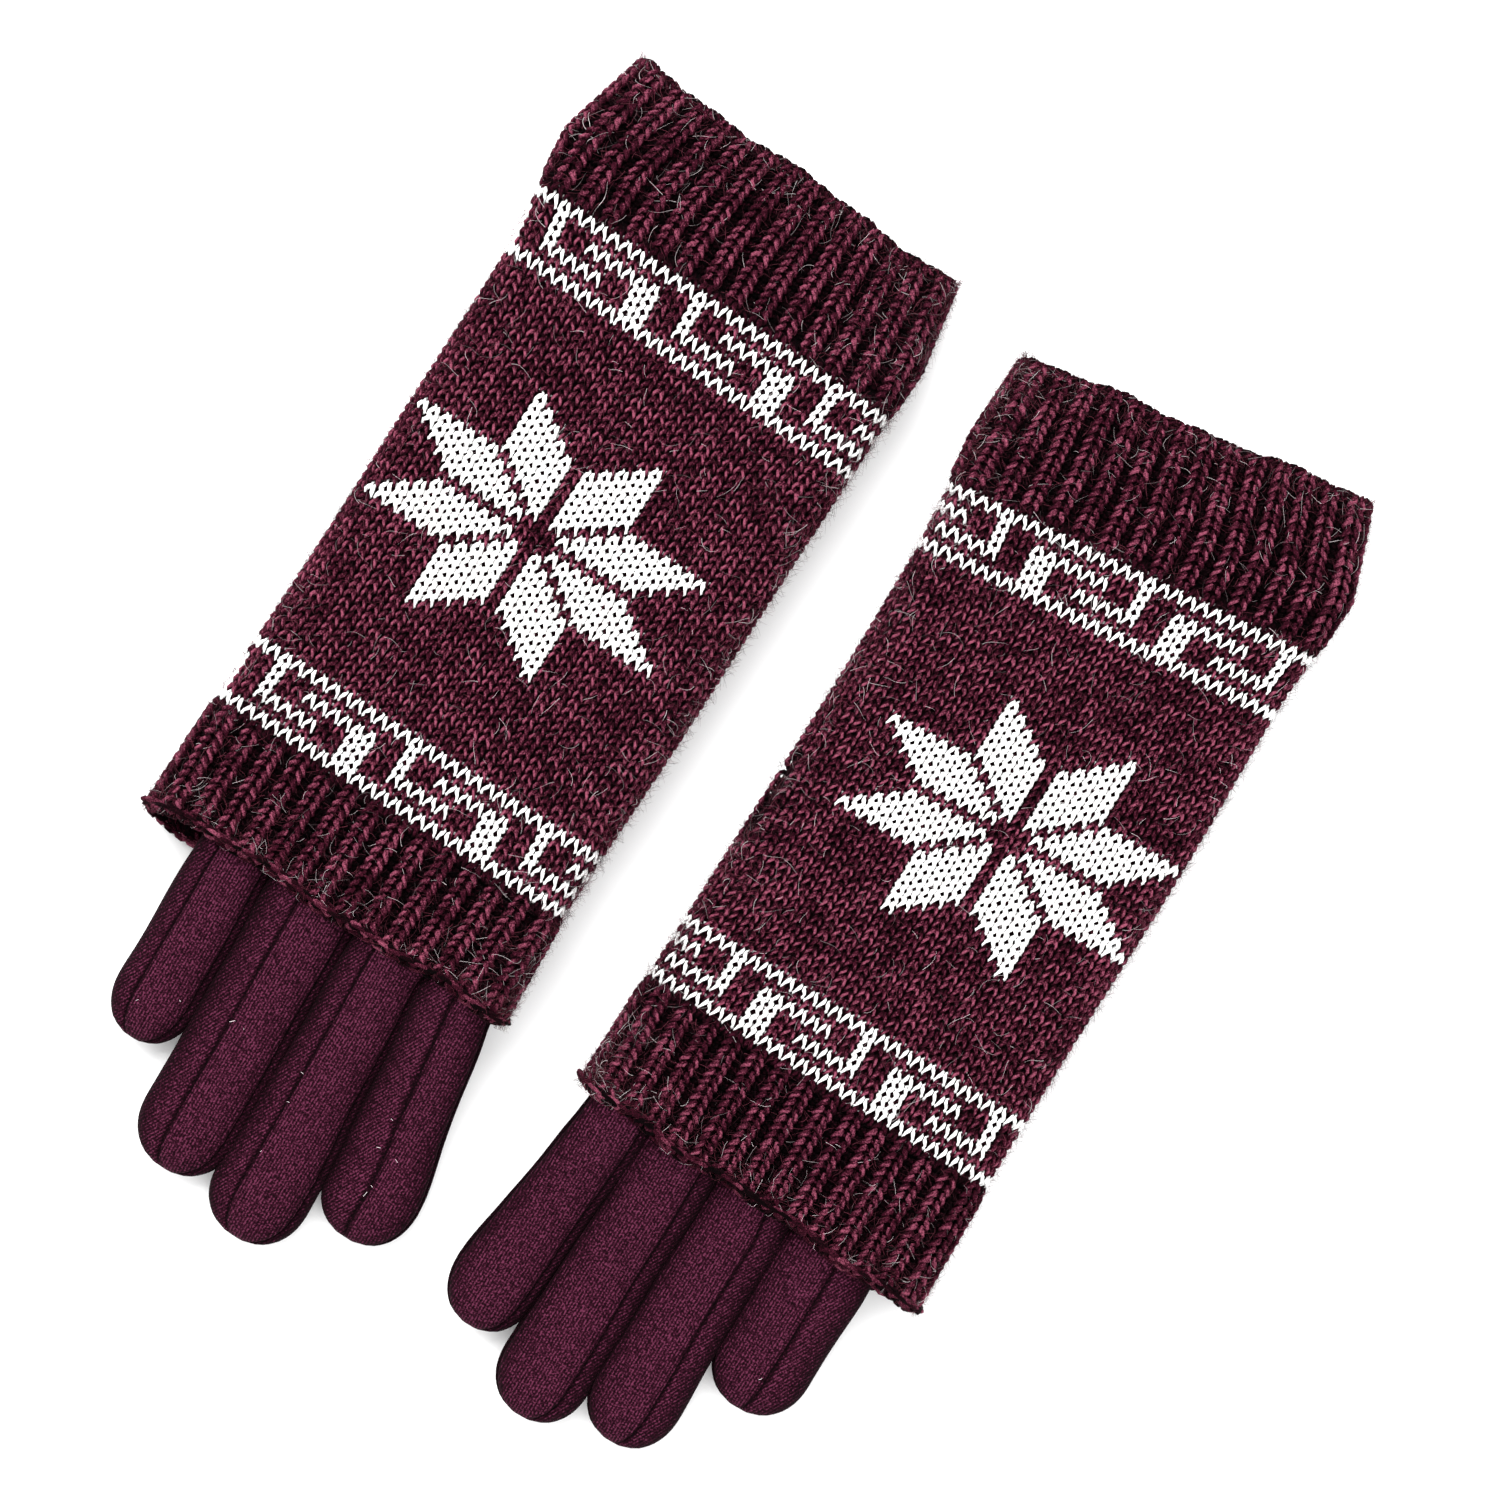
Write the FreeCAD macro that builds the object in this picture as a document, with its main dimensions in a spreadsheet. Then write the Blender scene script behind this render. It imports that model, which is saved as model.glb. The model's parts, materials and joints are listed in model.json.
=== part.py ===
"""A pair of layered winter gloves: a knitted fingerless sleeve over a sewn jersey glove.

Frame, millimetres: +Z up, the fingers point to -Y, the wrists to +Y, the right-hand glove
lies on the -X side and the left-hand glove on the +X side, both palm down on Z = 0.
The origin is the bottom centre of the pair.

Each glove is built in its own frame: X along its width, Y from the sleeve's edge over the
knuckles (Y = 0) to the wrist, Z up. "across" is a place along the width, counted from the
glove's middle line and positive towards the index finger, so that both gloves share it.
"""
import FreeCAD
import Part
import math
import os
import Sketcher

Vector = FreeCAD.Vector

# Driving dimensions, millimetres and degrees.
COMMON_SIZES = {
    "sleeve_wall": 2.6,         # thickness of the knitted fabric
    "sleeve_thick": 17.0,       # outer thickness of the sleeve, lying on its palm
    "sleeve_level": 13.9,       # height of the sleeve's middle over the folded thumb
    "side_roll": 6.0,           # the index side lies higher, on the thumb
    "band_length": 17.4,        # seven courses of key pattern
    "body_length": 106.8,       # plain courses between the bands
    "wrist_rib_length": 36.0,
    "wrist_thick": 16.0,        # outer thickness at the wrist's open edge
    "wrist_level": 8.3,         # the cuff is pressed flat where it lies on the table
    "wrist_roll": 0.8,
    "bulge_share": 0.4,         # the ribbed cuff is widest this far along it
    "bulge_rise": 2.6,          # and higher and more rolled there than at its open edge
    "bulge_roll": 2.2,
    "jersey_wall": 1.4,         # thickness of the lined jersey
    "layer_gap": 0.5,           # air between the two layers
    "glove_crotch": 6.0,        # where the fingers part, inside the sleeve
    "glove_end": 163.0,         # the inner glove's hem, inside the wrist
    "hem_length": 8.0,
    "hem_wall": 2.2,            # two layers of jersey
    "cuff_finger_thick": 10.6,  # finger thickness under the sleeve
    "finger_thick": 13.0,       # finger thickness outside the sleeve
    "finger_level": 6.52,       # height of a finger's middle at its tip
    "tip_round": 12.5,          # length of a fingertip's rounding
    "cuff_finger_end": -3.5,    # the fingers keep their size and height up to here
    "knuckle_place": -22.0,     # the line that the fingers bend about
    "knuckle_radius": 10.0,
    "knuckle_gap": 0.35,
    "thumb_across": 31.0,
    "thumb_width": 21.0,
    "thumb_thick": 7.0,
    "thumb_wall": 1.1,
    "thumb_level": 3.52,
    "thumb_heel": 99.0,         # the thumb's closed heel, towards the wrist
    "thumb_tip": 29.0,          # the thumb's tip, towards the fingers
    "neck_across": 30.0,        # axis of the thumb's neck
    "neck_place": 88.0,
    "neck_radius": 9.0,
    "neck_bottom": 7.4,
    "opening_place": 82.0,      # middle of the thumb opening
    "opening_length": 38.0,
    "opening_width": 23.0,
    "edging_width": 2.0,
    "wale": 3.3,                # width of one stitch
    "course": 2.33,             # height of one stitch
    "petal_stitches": 5,        # a petal is five stitches wide
    "petal_courses": 7,         # and seven courses long, one course further per stitch
    "petal_beside": 0.5,        # stitches from the star's middle line to a petal's side
    "petal_beyond": 1.2,        # courses from the star's middle to a petal's inner end
    "petal_sunk": 1.3,
    "petal_proud": 0.3,
    "fourchette_share": 0.56,   # the side strips start at this share of a finger's half width
}

# What differs from one glove to the other.
GLOVE_SIZES = {
    "right": {
        "side": 1,              # the index finger is towards +X
        "place_x": -59.9,
        "place_y": -64.2,
        "turn": -1.31,
        "hand_rib_length": 27.0,
        "star_across": -5.3,
        "star_place": 98.5,
        "crotch_half": 40.4,
        "crotch_across": 6.0,
    },
    "left": {
        "side": -1,
        "place_x": 60.6,
        "place_y": -70.2,
        "turn": 1.31,
        "hand_rib_length": 30.5,
        "star_across": -7.2,
        "star_place": 102.2,
        "crotch_half": 39.4,
        "crotch_across": 4.8,
    },
}

# Sleeve sections from the knuckles to the wrist: half width, place across, and skew in
# degrees, counted anticlockwise as seen from above.
SLEEVE_SECTIONS = {
    "right": {
        "edge": (50.2, 0.0, 0.0),
        "rib_top": (49.3, 0.0, 0.0),
        "band_top": (49.3, 0.0, 0.0),
        "body_middle": (49.6, 0.0, -0.5),
        "body_top": (49.6, 0.0, -1.1),
        "wrist_band_top": (50.6, -0.6, -1.4),
        "wrist_bulge": (51.4, -1.2, -2.0),
        "wrist_edge": (46.4, 0.0, -2.9),
    },
    "left": {
        "edge": (48.8, 0.0, -4.3),
        "rib_top": (48.0, -0.4, -2.4),
        "band_top": (47.8, -1.0, -1.6),
        "body_middle": (47.6, -2.6, 1.0),
        "body_top": (47.4, -4.4, 4.0),
        "wrist_band_top": (48.6, -4.4, 4.6),
        "wrist_bulge": (49.6, -4.0, 5.6),
        "wrist_edge": (45.4, -0.6, 7.2),
    },
}

# Fingers: across at the cuff, width there, across at the tip, width there, tip's place.
FINGERS = {
    "right": {
        "index": (37.8, 16.8, 45.4, 21.8, -65.0),
        "middle": (19.2, 18.8, 23.0, 22.2, -79.0),
        "ring": (-2.9, 22.4, 0.0, 22.2, -74.5),
        "little": (-24.6, 17.4, -23.0, 18.8, -52.5),
    },
    "left": {
        "index": (36.4, 15.0, 41.8, 19.6, -61.5),
        "middle": (18.9, 18.6, 20.7, 20.8, -74.0),
        "ring": (-1.2, 19.4, -1.0, 20.4, -68.5),
        "little": (-23.4, 22.4, -23.0, 21.8, -46.5),
    },
}
FINGER_ORDER = ["index", "middle", "ring", "little"]

# Inner glove sections beyond the crotch: place, half width, across.
HAND_SECTIONS = [(40.0, 40.6, 2.0), (90.0, 40.0, 0.2), (130.0, 38.2, -1.4)]
HAND_END = (38.0, -1.6)

# Where a finger comes down from the sleeve to the table: what is left of its height over
# its tip, and of its roll, at the knuckle and halfway from there to the tip.
KNUCKLE_SHARES = (0.4, 0.4)
HALFWAY_SHARES = (0.12, 0.1)

# The thumb from its heel to its tip: share of its length, share of its full width.
THUMB_PROFILE = [(0.0, 0.35), (0.04, 0.72), (0.13, 0.96), (0.3, 1.0), (0.6, 1.0),
                 (0.8, 0.97), (0.92, 0.82), (0.98, 0.52), (1.0, 0.3)]
THUMB_END_THICKNESS = 0.55          # it thins towards its ends, down to this share

TIP_ANGLES = [0, 28, 50, 68, 82]    # degrees round a fingertip's quarter ellipse
STRIP_REACH = 20.0                  # wider than any finger's side strip
FAR = 400.0                         # larger than the pair


def write_sizes(sheet, sizes, first_row):
    """Puts each size in the sheet as a plain number with its name as alias."""
    for row, (name, value) in enumerate(sizes.items(), first_row):
        sheet.set(f"A{row}", name)
        sheet.set(f"B{row}", str(value))
        sheet.setAlias(f"B{row}", name)
    return first_row + len(sizes)


def size(name):
    """A size read back from the sheet."""
    return float(sheet.get(name))


def placement(x, y, z, yaw=0, pitch=0, roll=0):
    """The text of a placement expression."""
    return f"placement(vector({x}; {y}; {z}); rotation({yaw}; {pitch}; {roll}))"


def stadium(name, half_width, thick, place):
    """A standing section with straight top and bottom and round sides.

    It is drawn at a rough size, which the two named constraints then replace.
    """
    sketch = doc.addObject("Sketcher::SketchObject", name)
    run = 30.0
    radius = 6.0
    quarter = math.pi / 2
    up = Vector(0, 0, 1)
    right_circle = Part.Circle(Vector(run, 0, 0), up, radius)
    left_circle = Part.Circle(Vector(-run, 0, 0), up, radius)
    sketch.addGeometry(Part.LineSegment(Vector(-run, radius, 0), Vector(run, radius, 0)), False)
    sketch.addGeometry(Part.ArcOfCircle(right_circle, -quarter, quarter), False)
    sketch.addGeometry(Part.LineSegment(Vector(run, -radius, 0), Vector(-run, -radius, 0)), False)
    sketch.addGeometry(Part.ArcOfCircle(left_circle, quarter, 3 * quarter), False)
    rule = Sketcher.Constraint
    for corner in [(0, 2, 1, 2), (1, 1, 2, 1), (2, 2, 3, 2), (3, 1, 0, 1)]:
        sketch.addConstraint(rule("Tangent", *corner))
    sketch.addConstraint(rule("Horizontal", 0))
    sketch.addConstraint(rule("Horizontal", 2))
    sketch.addConstraint(rule("Symmetric", 1, 3, 3, 3, -1, 1))
    sketch.renameConstraint(sketch.addConstraint(rule("DistanceX", -1, 1, 1, 3, run)), "half_run")
    sketch.renameConstraint(sketch.addConstraint(rule("Radius", 1, radius)), "rounding")
    sketch.setExpression("Constraints.half_run", f"{half_width} - ({thick}) / 2")
    sketch.setExpression("Constraints.rounding", f"({thick}) / 2")
    sketch.setExpression("Placement", place)
    return sketch


def ellipse(name, half_width, half_thick, place):
    """A standing elliptical section."""
    section = doc.addObject("Part::Ellipse", name)
    section.setExpression("MajorRadius", half_width)
    section.setExpression("MinorRadius", half_thick)
    section.setExpression("Placement", place)
    return section


def loft(name, sections):
    """A solid through standing sections."""
    solid = doc.addObject("Part::Loft", name)
    solid.Sections = sections
    solid.Solid = True
    solid.Ruled = False
    return solid


def combine(kind, name, base, tool):
    """A Part::Cut or Part::Common of two solids."""
    result = doc.addObject(f"Part::{kind}", name)
    result.Base = base
    result.Tool = tool
    return result


def fuse(name, shapes):
    """One object from several solids."""
    result = doc.addObject("Part::MultiFuse", name)
    result.Shapes = shapes
    return result


def joined(name, shapes):
    """The one shape, or all of them as one object."""
    return fuse(name, shapes) if len(shapes) > 1 else shapes[0]


def block(name, length, width, height, place):
    """A box with its sizes and its place given as expressions."""
    box = doc.addObject("Part::Box", name)
    box.setExpression("Length", str(length))
    box.setExpression("Width", str(width))
    box.setExpression("Height", str(height))
    box.setExpression("Placement", place)
    return box


def rod(name, radius, height, place):
    """A cylinder with its sizes and its place given as expressions."""
    cylinder = doc.addObject("Part::Cylinder", name)
    cylinder.setExpression("Radius", str(radius))
    cylinder.setExpression("Height", str(height))
    cylinder.setExpression("Placement", place)
    return cylinder


def bottom_plane(body):
    """A body's own XY plane."""
    return next(item for item in body.Origin.OriginFeatures if item.Role == "XY_Plane")


def add_outline(sketch, points):
    """A closed outline of straight lines."""
    corners = [Vector(x, y, 0) for x, y in points]
    for start, end in zip(corners, corners[1:] + corners[:1]):
        sketch.addGeometry(Part.LineSegment(start, end), False)


def padded_body(name, draw, height):
    """A PartDesign body that stands on the glove's floor: one sketch and one pad."""
    body = doc.addObject("PartDesign::Body", name)
    sketch = body.newObject("Sketcher::SketchObject", name + "_sketch")
    sketch.AttachmentSupport = [(bottom_plane(body), "")]
    sketch.MapMode = "FlatFace"
    draw(sketch)
    doc.recompute()
    pad = body.newObject("PartDesign::Pad", name + "_pad")
    pad.Profile = sketch
    pad.setExpression("Length", str(height))
    body.Tip = pad
    return body


def petal_outlines(middle_x, middle_y):
    """The eight slanted petals of the snowflake: two mirror images of two parallelograms."""
    wale = size("wale")
    course = size("course")
    inner_x = size("petal_beside")
    outer_x = inner_x + size("petal_stitches")
    near_y = size("petal_beyond")
    far_y = near_y + size("petal_courses")
    slant = size("petal_stitches")
    upright = [(inner_x, near_y), (outer_x, near_y + slant), (outer_x, far_y + slant), (inner_x, far_y)]
    lying = [(y, x) for x, y in upright]
    outlines = []
    for petal in (upright, lying):
        for side in (wale, -wale):
            for end in (course, -course):
                outlines.append([(middle_x + side * x, middle_y + end * y) for x, y in petal])
    return outlines


class Glove:
    """One glove of the pair: its sleeve, its jersey hand, its four fingers and its thumb."""

    def __init__(self, name):
        self.name = name
        self.side = GLOVE_SIZES[name]["side"]
        self.nodes = []
        self.sections = {}
        self.solids = {}

    def label(self, piece):
        return f"{self.name}_{piece}"

    def cell(self, alias):
        """An expression for one of this glove's own sizes."""
        return f"Sizes.{self.name}_{alias}"

    def node(self, piece, feature):
        """Makes a feature a sub-part of this glove, placed where the glove lies."""
        feature.Label = self.label(piece)
        turn = self.cell("turn")
        feature.setExpression("Placement", placement(self.cell("place_x"), self.cell("place_y"), 0, turn))
        self.nodes.append(feature)
        return feature

    def standing(self, across, place, level, roll, skew=0):
        """Places a section across the glove's length, rolled and skewed."""
        return placement(f"{self.side} * ({across})", place, level, skew, f"{-self.side} * ({roll})", 90)

    def rolled(self, across, place, level, roll, skew=0):
        """The same, with its middle on the plane that rolls about the glove's middle line."""
        rise = f"{level} + ({across}) * tan(({roll}) * 1 deg)"
        return self.standing(across, place, rise, roll, skew)

    # The knitted sleeve

    def sleeve_stations(self):
        """Place, thickness, level and roll of each sleeve section."""
        rib = self.cell("hand_rib_length")
        band = "Sizes.band_length"
        body = "Sizes.body_length"
        wrist = "Sizes.wrist_rib_length"
        straight = ("Sizes.sleeve_thick", "Sizes.sleeve_level", "Sizes.side_roll")
        bulge = (
            "Sizes.sleeve_thick", "Sizes.wrist_level + Sizes.bulge_rise",
            "Sizes.wrist_roll + Sizes.bulge_roll")
        mouth = ("Sizes.wrist_thick", "Sizes.wrist_level", "Sizes.wrist_roll")
        return {
            "edge": ("0", *straight),
            "rib_top": (rib, *straight),
            "band_top": (f"{rib} + {band}", *straight),
            "body_middle": (f"{rib} + {band} + {body} / 2", *straight),
            "body_top": (f"{rib} + {band} + {body}", *straight),
            "wrist_band_top": (f"{rib} + 2 * {band} + {body}", *straight),
            "wrist_bulge": (f"{rib} + 2 * {band} + {body} + {wrist} * Sizes.bulge_share", *bulge),
            "wrist_edge": (f"{rib} + 2 * {band} + {body} + {wrist}", *mouth),
        }

    def sleeve_section(self, station, depth, depth_name):
        """The sleeve's section at a station, depth below its outer surface."""
        half_width, across, skew = SLEEVE_SECTIONS[self.name][station]
        place, thick, level, roll = self.sleeve_stations()[station]
        name = self.label(f"{depth_name}_{station}")
        where = self.rolled(across, place, level, roll, skew)
        return stadium(name, f"{half_width} - {depth}", f"{thick} - 2 * {depth}", where)

    def sleeve_solid(self, piece, stations, depth, depth_name):
        """The sleeve's filled shape between stations, made once for each depth."""
        key = (depth_name, tuple(stations))
        if key not in self.solids:
            sections = []
            for station in stations:
                section_key = (depth_name, station)
                if section_key not in self.sections:
                    self.sections[section_key] = self.sleeve_section(station, depth, depth_name)
                sections.append(self.sections[section_key])
            self.solids[key] = loft(self.label(f"{piece}_{depth_name}"), sections)
        return self.solids[key]

    def sleeve_ring(self, piece, stations):
        """The knitted wall between two stations."""
        outer = self.sleeve_solid(piece, stations, "0", "outer")
        inner = self.sleeve_solid(piece, stations, "Sizes.sleeve_wall", "inner")
        return combine("Cut", self.label(piece + "_wall"), outer, inner)

    def opening_prism(self, name, margin):
        """An upright slot through the palm side, where the thumb's neck passes."""
        half_run = (size("opening_length") - size("opening_width")) / 2
        radius = size("opening_width") / 2 + margin
        across = self.side * size("neck_across")
        middle = size("opening_place")

        def draw(sketch):
            far_circle = Part.Circle(Vector(across, middle + half_run, 0), Vector(0, 0, 1), radius)
            near_circle = Part.Circle(Vector(across, middle - half_run, 0), Vector(0, 0, 1), radius)
            sketch.addGeometry(Part.ArcOfCircle(far_circle, 0, math.pi), False)
            sketch.addGeometry(Part.ArcOfCircle(near_circle, math.pi, 2 * math.pi), False)
            for side in (1, -1):
                start = Vector(across + side * radius, middle - half_run, 0)
                end = Vector(across + side * radius, middle + half_run, 0)
                sketch.addGeometry(Part.LineSegment(start, end), False)

        return padded_body(name, draw, "Sizes.sleeve_level")

    def make_sleeve(self):
        self.make_rings()
        stations = ["band_top", "body_middle", "body_top"]
        wall = self.sleeve_ring("sleeve_body", stations)
        hole = self.opening_prism(self.label("opening_cut"), size("edging_width"))
        open_wall = combine("Cut", self.label("open_wall"), wall, hole)

        petal_shell, petal_space = self.petal_shapes(stations)
        self.node("snowflake", combine("Common", self.label("petals"), petal_shell, petal_space))
        petal_recess = combine("Common", self.label("petal_recess"), petal_shell, petal_space)
        self.node("sleeve_body", combine("Cut", self.label("body_wall"), open_wall, petal_recess))

        slot = self.opening_prism(self.label("opening_slot"), 0)
        edging = combine("Common", self.label("edging_wall"), wall, hole)
        self.node("thumb_edge", combine("Cut", self.label("edging"), edging, slot))

    def make_rings(self):
        """The ribs and bands at both ends of the sleeve."""
        rings = {
            "hand_rib": ["edge", "rib_top"],
            "hand_band": ["rib_top", "band_top"],
            "wrist_band": ["body_top", "wrist_band_top"],
            "wrist_rib": ["wrist_band_top", "wrist_bulge", "wrist_edge"],
        }
        for piece, stations in rings.items():
            wall = self.sleeve_ring(piece, stations)
            if piece == "wrist_rib":
                above_table = block(
                    self.label("above_table"), FAR, FAR, FAR, placement(-FAR / 2, 0, 0))
                wall = combine("Common", self.label("wrist_rib_flattened"), wall, above_table)
            self.node(piece, wall)

    def petal_shapes(self, stations):
        """The layer of the sleeve that the petals fill, and the upright space over their outlines."""
        middle_x = self.side * size(f"{self.name}_star_across")
        middle_y = size(f"{self.name}_star_place")

        def draw_petals(sketch):
            for outline in petal_outlines(middle_x, middle_y):
                add_outline(sketch, outline)

        prism = padded_body(self.label("petal_prism"), draw_petals, FAR)
        upper = block(
            self.label("upper_space"), FAR, FAR, FAR,
            placement(-FAR / 2, -FAR / 2, "Sizes.sleeve_level"))
        petal_space = combine("Common", self.label("petal_space"), prism, upper)
        proud = self.sleeve_solid("sleeve_body", stations, "(0 - Sizes.petal_proud)", "proud")
        sunk = self.sleeve_solid("sleeve_body", stations, "Sizes.petal_sunk", "sunk")
        return combine("Cut", self.label("petal_shell"), proud, sunk), petal_space

    # The jersey hand

    def hand_section(self, name, place, half_width, across, depth):
        """A section of the hand, depth below the jersey's outer surface."""
        thick = f"Sizes.sleeve_thick - 2 * Sizes.sleeve_wall - 2 * Sizes.layer_gap - 2 * ({depth})"
        where = self.rolled(across, place, "Sizes.sleeve_level", "Sizes.side_roll")
        return stadium(self.label(name), f"{half_width} - ({depth})", thick, where)

    def hand_solid(self, name, depth):
        """The hand from the crotch to the hem."""
        half_width, across = self.cell("crotch_half"), self.cell("crotch_across")
        sections = [self.hand_section(f"{name}_crotch", "Sizes.glove_crotch", half_width, across, depth)]
        for number, (place, half_width, across) in enumerate(HAND_SECTIONS, 1):
            sections.append(self.hand_section(f"{name}_{number}", place, half_width, across, depth))
        half_width, across = HAND_END
        end = "Sizes.glove_end - Sizes.hem_length"
        sections.append(self.hand_section(f"{name}_end", end, half_width, across, depth))
        return loft(self.label(name), sections)

    def hem_solid(self, name, depth):
        """The hem, past the end of the hand."""
        half_width, across = HAND_END
        places = ["Sizes.glove_end - Sizes.hem_length", "Sizes.glove_end"]
        sections = []
        for number, place in enumerate(places):
            sections.append(self.hand_section(f"{name}_{number}", place, half_width, across, depth))
        return loft(self.label(name), sections)

    def make_hand(self):
        outer = self.hand_solid("hand_outer", "0")
        inner = self.hand_solid("hand_inner", "Sizes.jersey_wall")
        shell = combine("Cut", self.label("hand_shell"), outer, inner)
        tilt = f"{-self.side} * Sizes.side_roll"
        upper = block(
            self.label("back_space"), FAR, FAR, FAR,
            placement(0, 0, "Sizes.sleeve_level", 0, tilt) + " * " + placement(-FAR / 2, -FAR / 2, 0))
        self.node("back_panel", combine("Common", self.label("back"), shell, upper))
        palm = combine("Cut", self.label("palm_closed"), shell, upper)

        neck_x = f"{self.side} * Sizes.neck_across"
        bore = rod(
            self.label("neck_bore"), "Sizes.neck_radius - Sizes.jersey_wall", "Sizes.sleeve_level",
            placement(neck_x, "Sizes.neck_place", 0))
        self.node("palm_panel", combine("Cut", self.label("palm"), palm, bore))

        neck = rod(
            self.label("neck_outer"), "Sizes.neck_radius", "Sizes.sleeve_level - Sizes.neck_bottom",
            placement(neck_x, "Sizes.neck_place", "Sizes.neck_bottom"))
        tube = combine("Cut", self.label("neck_tube"), neck, bore)
        self.node("thumb_gusset", combine("Cut", self.label("neck"), tube, outer))

        hem_outer = self.hem_solid("hem_outer", "0")
        hem_inner = self.hem_solid("hem_inner", "Sizes.hem_wall")
        self.node("wrist_hem", combine("Cut", self.label("hem"), hem_outer, hem_inner))

    # The thumb, folded under the palm

    def thumb_solid(self, name, depth):
        """The thumb, depth below its outer surface."""
        length = size("thumb_heel") - size("thumb_tip")
        sections = []
        for number, (share, width_share) in enumerate(THUMB_PROFILE):
            end_shift = (1 - 2 * share) * depth
            place = size("thumb_heel") - share * length - end_shift
            thick_share = THUMB_END_THICKNESS + (1 - THUMB_END_THICKNESS) * width_share
            half = f"Sizes.thumb_width / 2 * {width_share} - {depth * width_share}"
            half_thick = f"Sizes.thumb_thick / 2 * {thick_share} - {depth}"
            where = self.standing("Sizes.thumb_across", place, "Sizes.thumb_level", 0)
            sections.append(ellipse(self.label(f"{name}_{number}"), half, half_thick, where))
        return loft(self.label(name), sections)

    def make_thumb(self):
        outer = self.thumb_solid("thumb_outer", 0)
        inner = self.thumb_solid("thumb_inner", size("thumb_wall"))
        shell = combine("Cut", self.label("thumb_shell"), outer, inner)
        mouth = rod(
            self.label("thumb_mouth"), "Sizes.neck_radius - Sizes.jersey_wall", "Sizes.sleeve_level",
            placement(f"{self.side} * Sizes.neck_across", "Sizes.neck_place", "Sizes.thumb_level"))
        self.node("thumb", combine("Cut", self.label("thumb_open"), shell, mouth))

    # The fingers

    def finger_stations(self, finger, depth):
        """Sections of a finger from the crotch to the tip, depth below its surface.

        Each is a place, across, width, thickness, level and roll.
        """
        cuff_across, cuff_width, tip_across, tip_width, tip = FINGERS[self.name][finger]
        straight_end = size("cuff_finger_end")
        knuckle = size("knuckle_place")
        tip_start = tip + size("tip_round")
        tip_level = size("finger_level")
        cuff_level = size("sleeve_level") + cuff_across * math.tan(math.radians(size("side_roll")))
        roll = size("side_roll")
        cuff_thick = size("cuff_finger_thick")
        full_thick = size("finger_thick")

        def between(place):
            """Across and width at a place past the cuff."""
            share = (straight_end - place) / (straight_end - tip_start)
            return (cuff_across + share * (tip_across - cuff_across),
                    cuff_width + share * (tip_width - cuff_width))

        rows = [(size("glove_crotch"), cuff_across, cuff_width, cuff_thick, cuff_level, roll),
                (straight_end, cuff_across, cuff_width, cuff_thick, cuff_level, roll)]
        halfway = (knuckle + tip_start) / 2
        for place, (rise_share, roll_share) in ((knuckle, KNUCKLE_SHARES), (halfway, HALFWAY_SHARES)):
            across, width = between(place)
            level = tip_level + rise_share * (cuff_level - tip_level)
            rows.append((place, across, width, full_thick, level, roll * roll_share))
        for angle in TIP_ANGLES:
            reach = (size("tip_round") - depth) * math.sin(math.radians(angle))
            shrink = math.cos(math.radians(angle))
            rows.append((tip_start - reach, tip_across, (tip_width - 2 * depth) * shrink + 2 * depth,
                         (full_thick - 2 * depth) * shrink + 2 * depth, tip_level, 0))
        return rows

    def finger_solid(self, finger, depth, name):
        """A finger from the crotch to the tip."""
        sections = []
        for number, row in enumerate(self.finger_stations(finger, depth)):
            place, across, width, thick, level, roll = row
            where = self.standing(across, place, level, roll)
            label = self.label(f"{finger}_{name}_{number}")
            sections.append(ellipse(label, f"{width} / 2 - {depth}", f"{thick} / 2 - {depth}", where))
        return loft(self.label(f"{finger}_{name}"), sections)

    def knuckle_level(self, finger):
        """The height of the finger's middle at its knuckle."""
        rows = self.finger_stations(finger, 0)
        return next(level for place, _, _, _, level, _ in rows if place == size("knuckle_place"))

    def strip_space(self, finger, end, outward):
        """The space beside a finger's seam, where its fourchette lies."""
        cuff_across, cuff_width, tip_across, tip_width, tip = FINGERS[self.name][finger]
        if end == "tip":
            across = (cuff_across + tip_across) / 2
            width = (cuff_width + tip_width) / 2
        else:
            across, width = cuff_across, cuff_width
        run = tip_across - cuff_across
        yaw = self.side * math.degrees(math.atan2(run, -tip))
        middle_y = tip / 2 if end == "tip" else 0
        offset = width / 2 * size("fourchette_share")
        shift = offset if outward * self.side > 0 else -offset - STRIP_REACH
        side_name = "outer" if outward > 0 else "inner"
        return block(
            self.label(f"{finger}_{end}_{side_name}_strip_space"), STRIP_REACH, FAR, FAR,
            placement(self.side * across, middle_y, 0, yaw) + " * " + placement(shift, -FAR / 2, -FAR / 2))

    def make_finger(self, finger):
        """Returns the base strips of one finger, by side."""
        outer = self.finger_solid(finger, 0, "outer")
        inner = self.finger_solid(finger, size("jersey_wall"), "inner")
        shell = combine("Cut", self.label(f"{finger}_shell"), outer, inner)

        lying = placement(-FAR / 2, "Sizes.knuckle_place", self.knuckle_level(finger), 0, 90, 0)
        knuckle = rod(self.label(f"{finger}_knuckle"), "Sizes.knuckle_radius", FAR, lying)
        clear = rod(
            self.label(f"{finger}_knuckle_clear"), "Sizes.knuckle_radius + Sizes.knuckle_gap", FAR, lying)
        beyond = block(
            self.label(f"{finger}_beyond"), FAR, FAR, FAR,
            placement(-FAR / 2, f"Sizes.knuckle_place - {FAR}", -FAR / 2))
        tip_space = fuse(self.label(f"{finger}_tip_space"), [beyond, knuckle])
        tip_shell = combine("Common", self.label(f"{finger}_tip_shell"), shell, tip_space)
        rest_space = fuse(self.label(f"{finger}_base_limit"), [beyond, clear])
        base_shell = combine("Cut", self.label(f"{finger}_base_shell"), shell, rest_space)

        place = FINGER_ORDER.index(finger)
        sides = []
        if place > 0:
            sides.append(1)
        if place < len(FINGER_ORDER) - 1:
            sides.append(-1)

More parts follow.
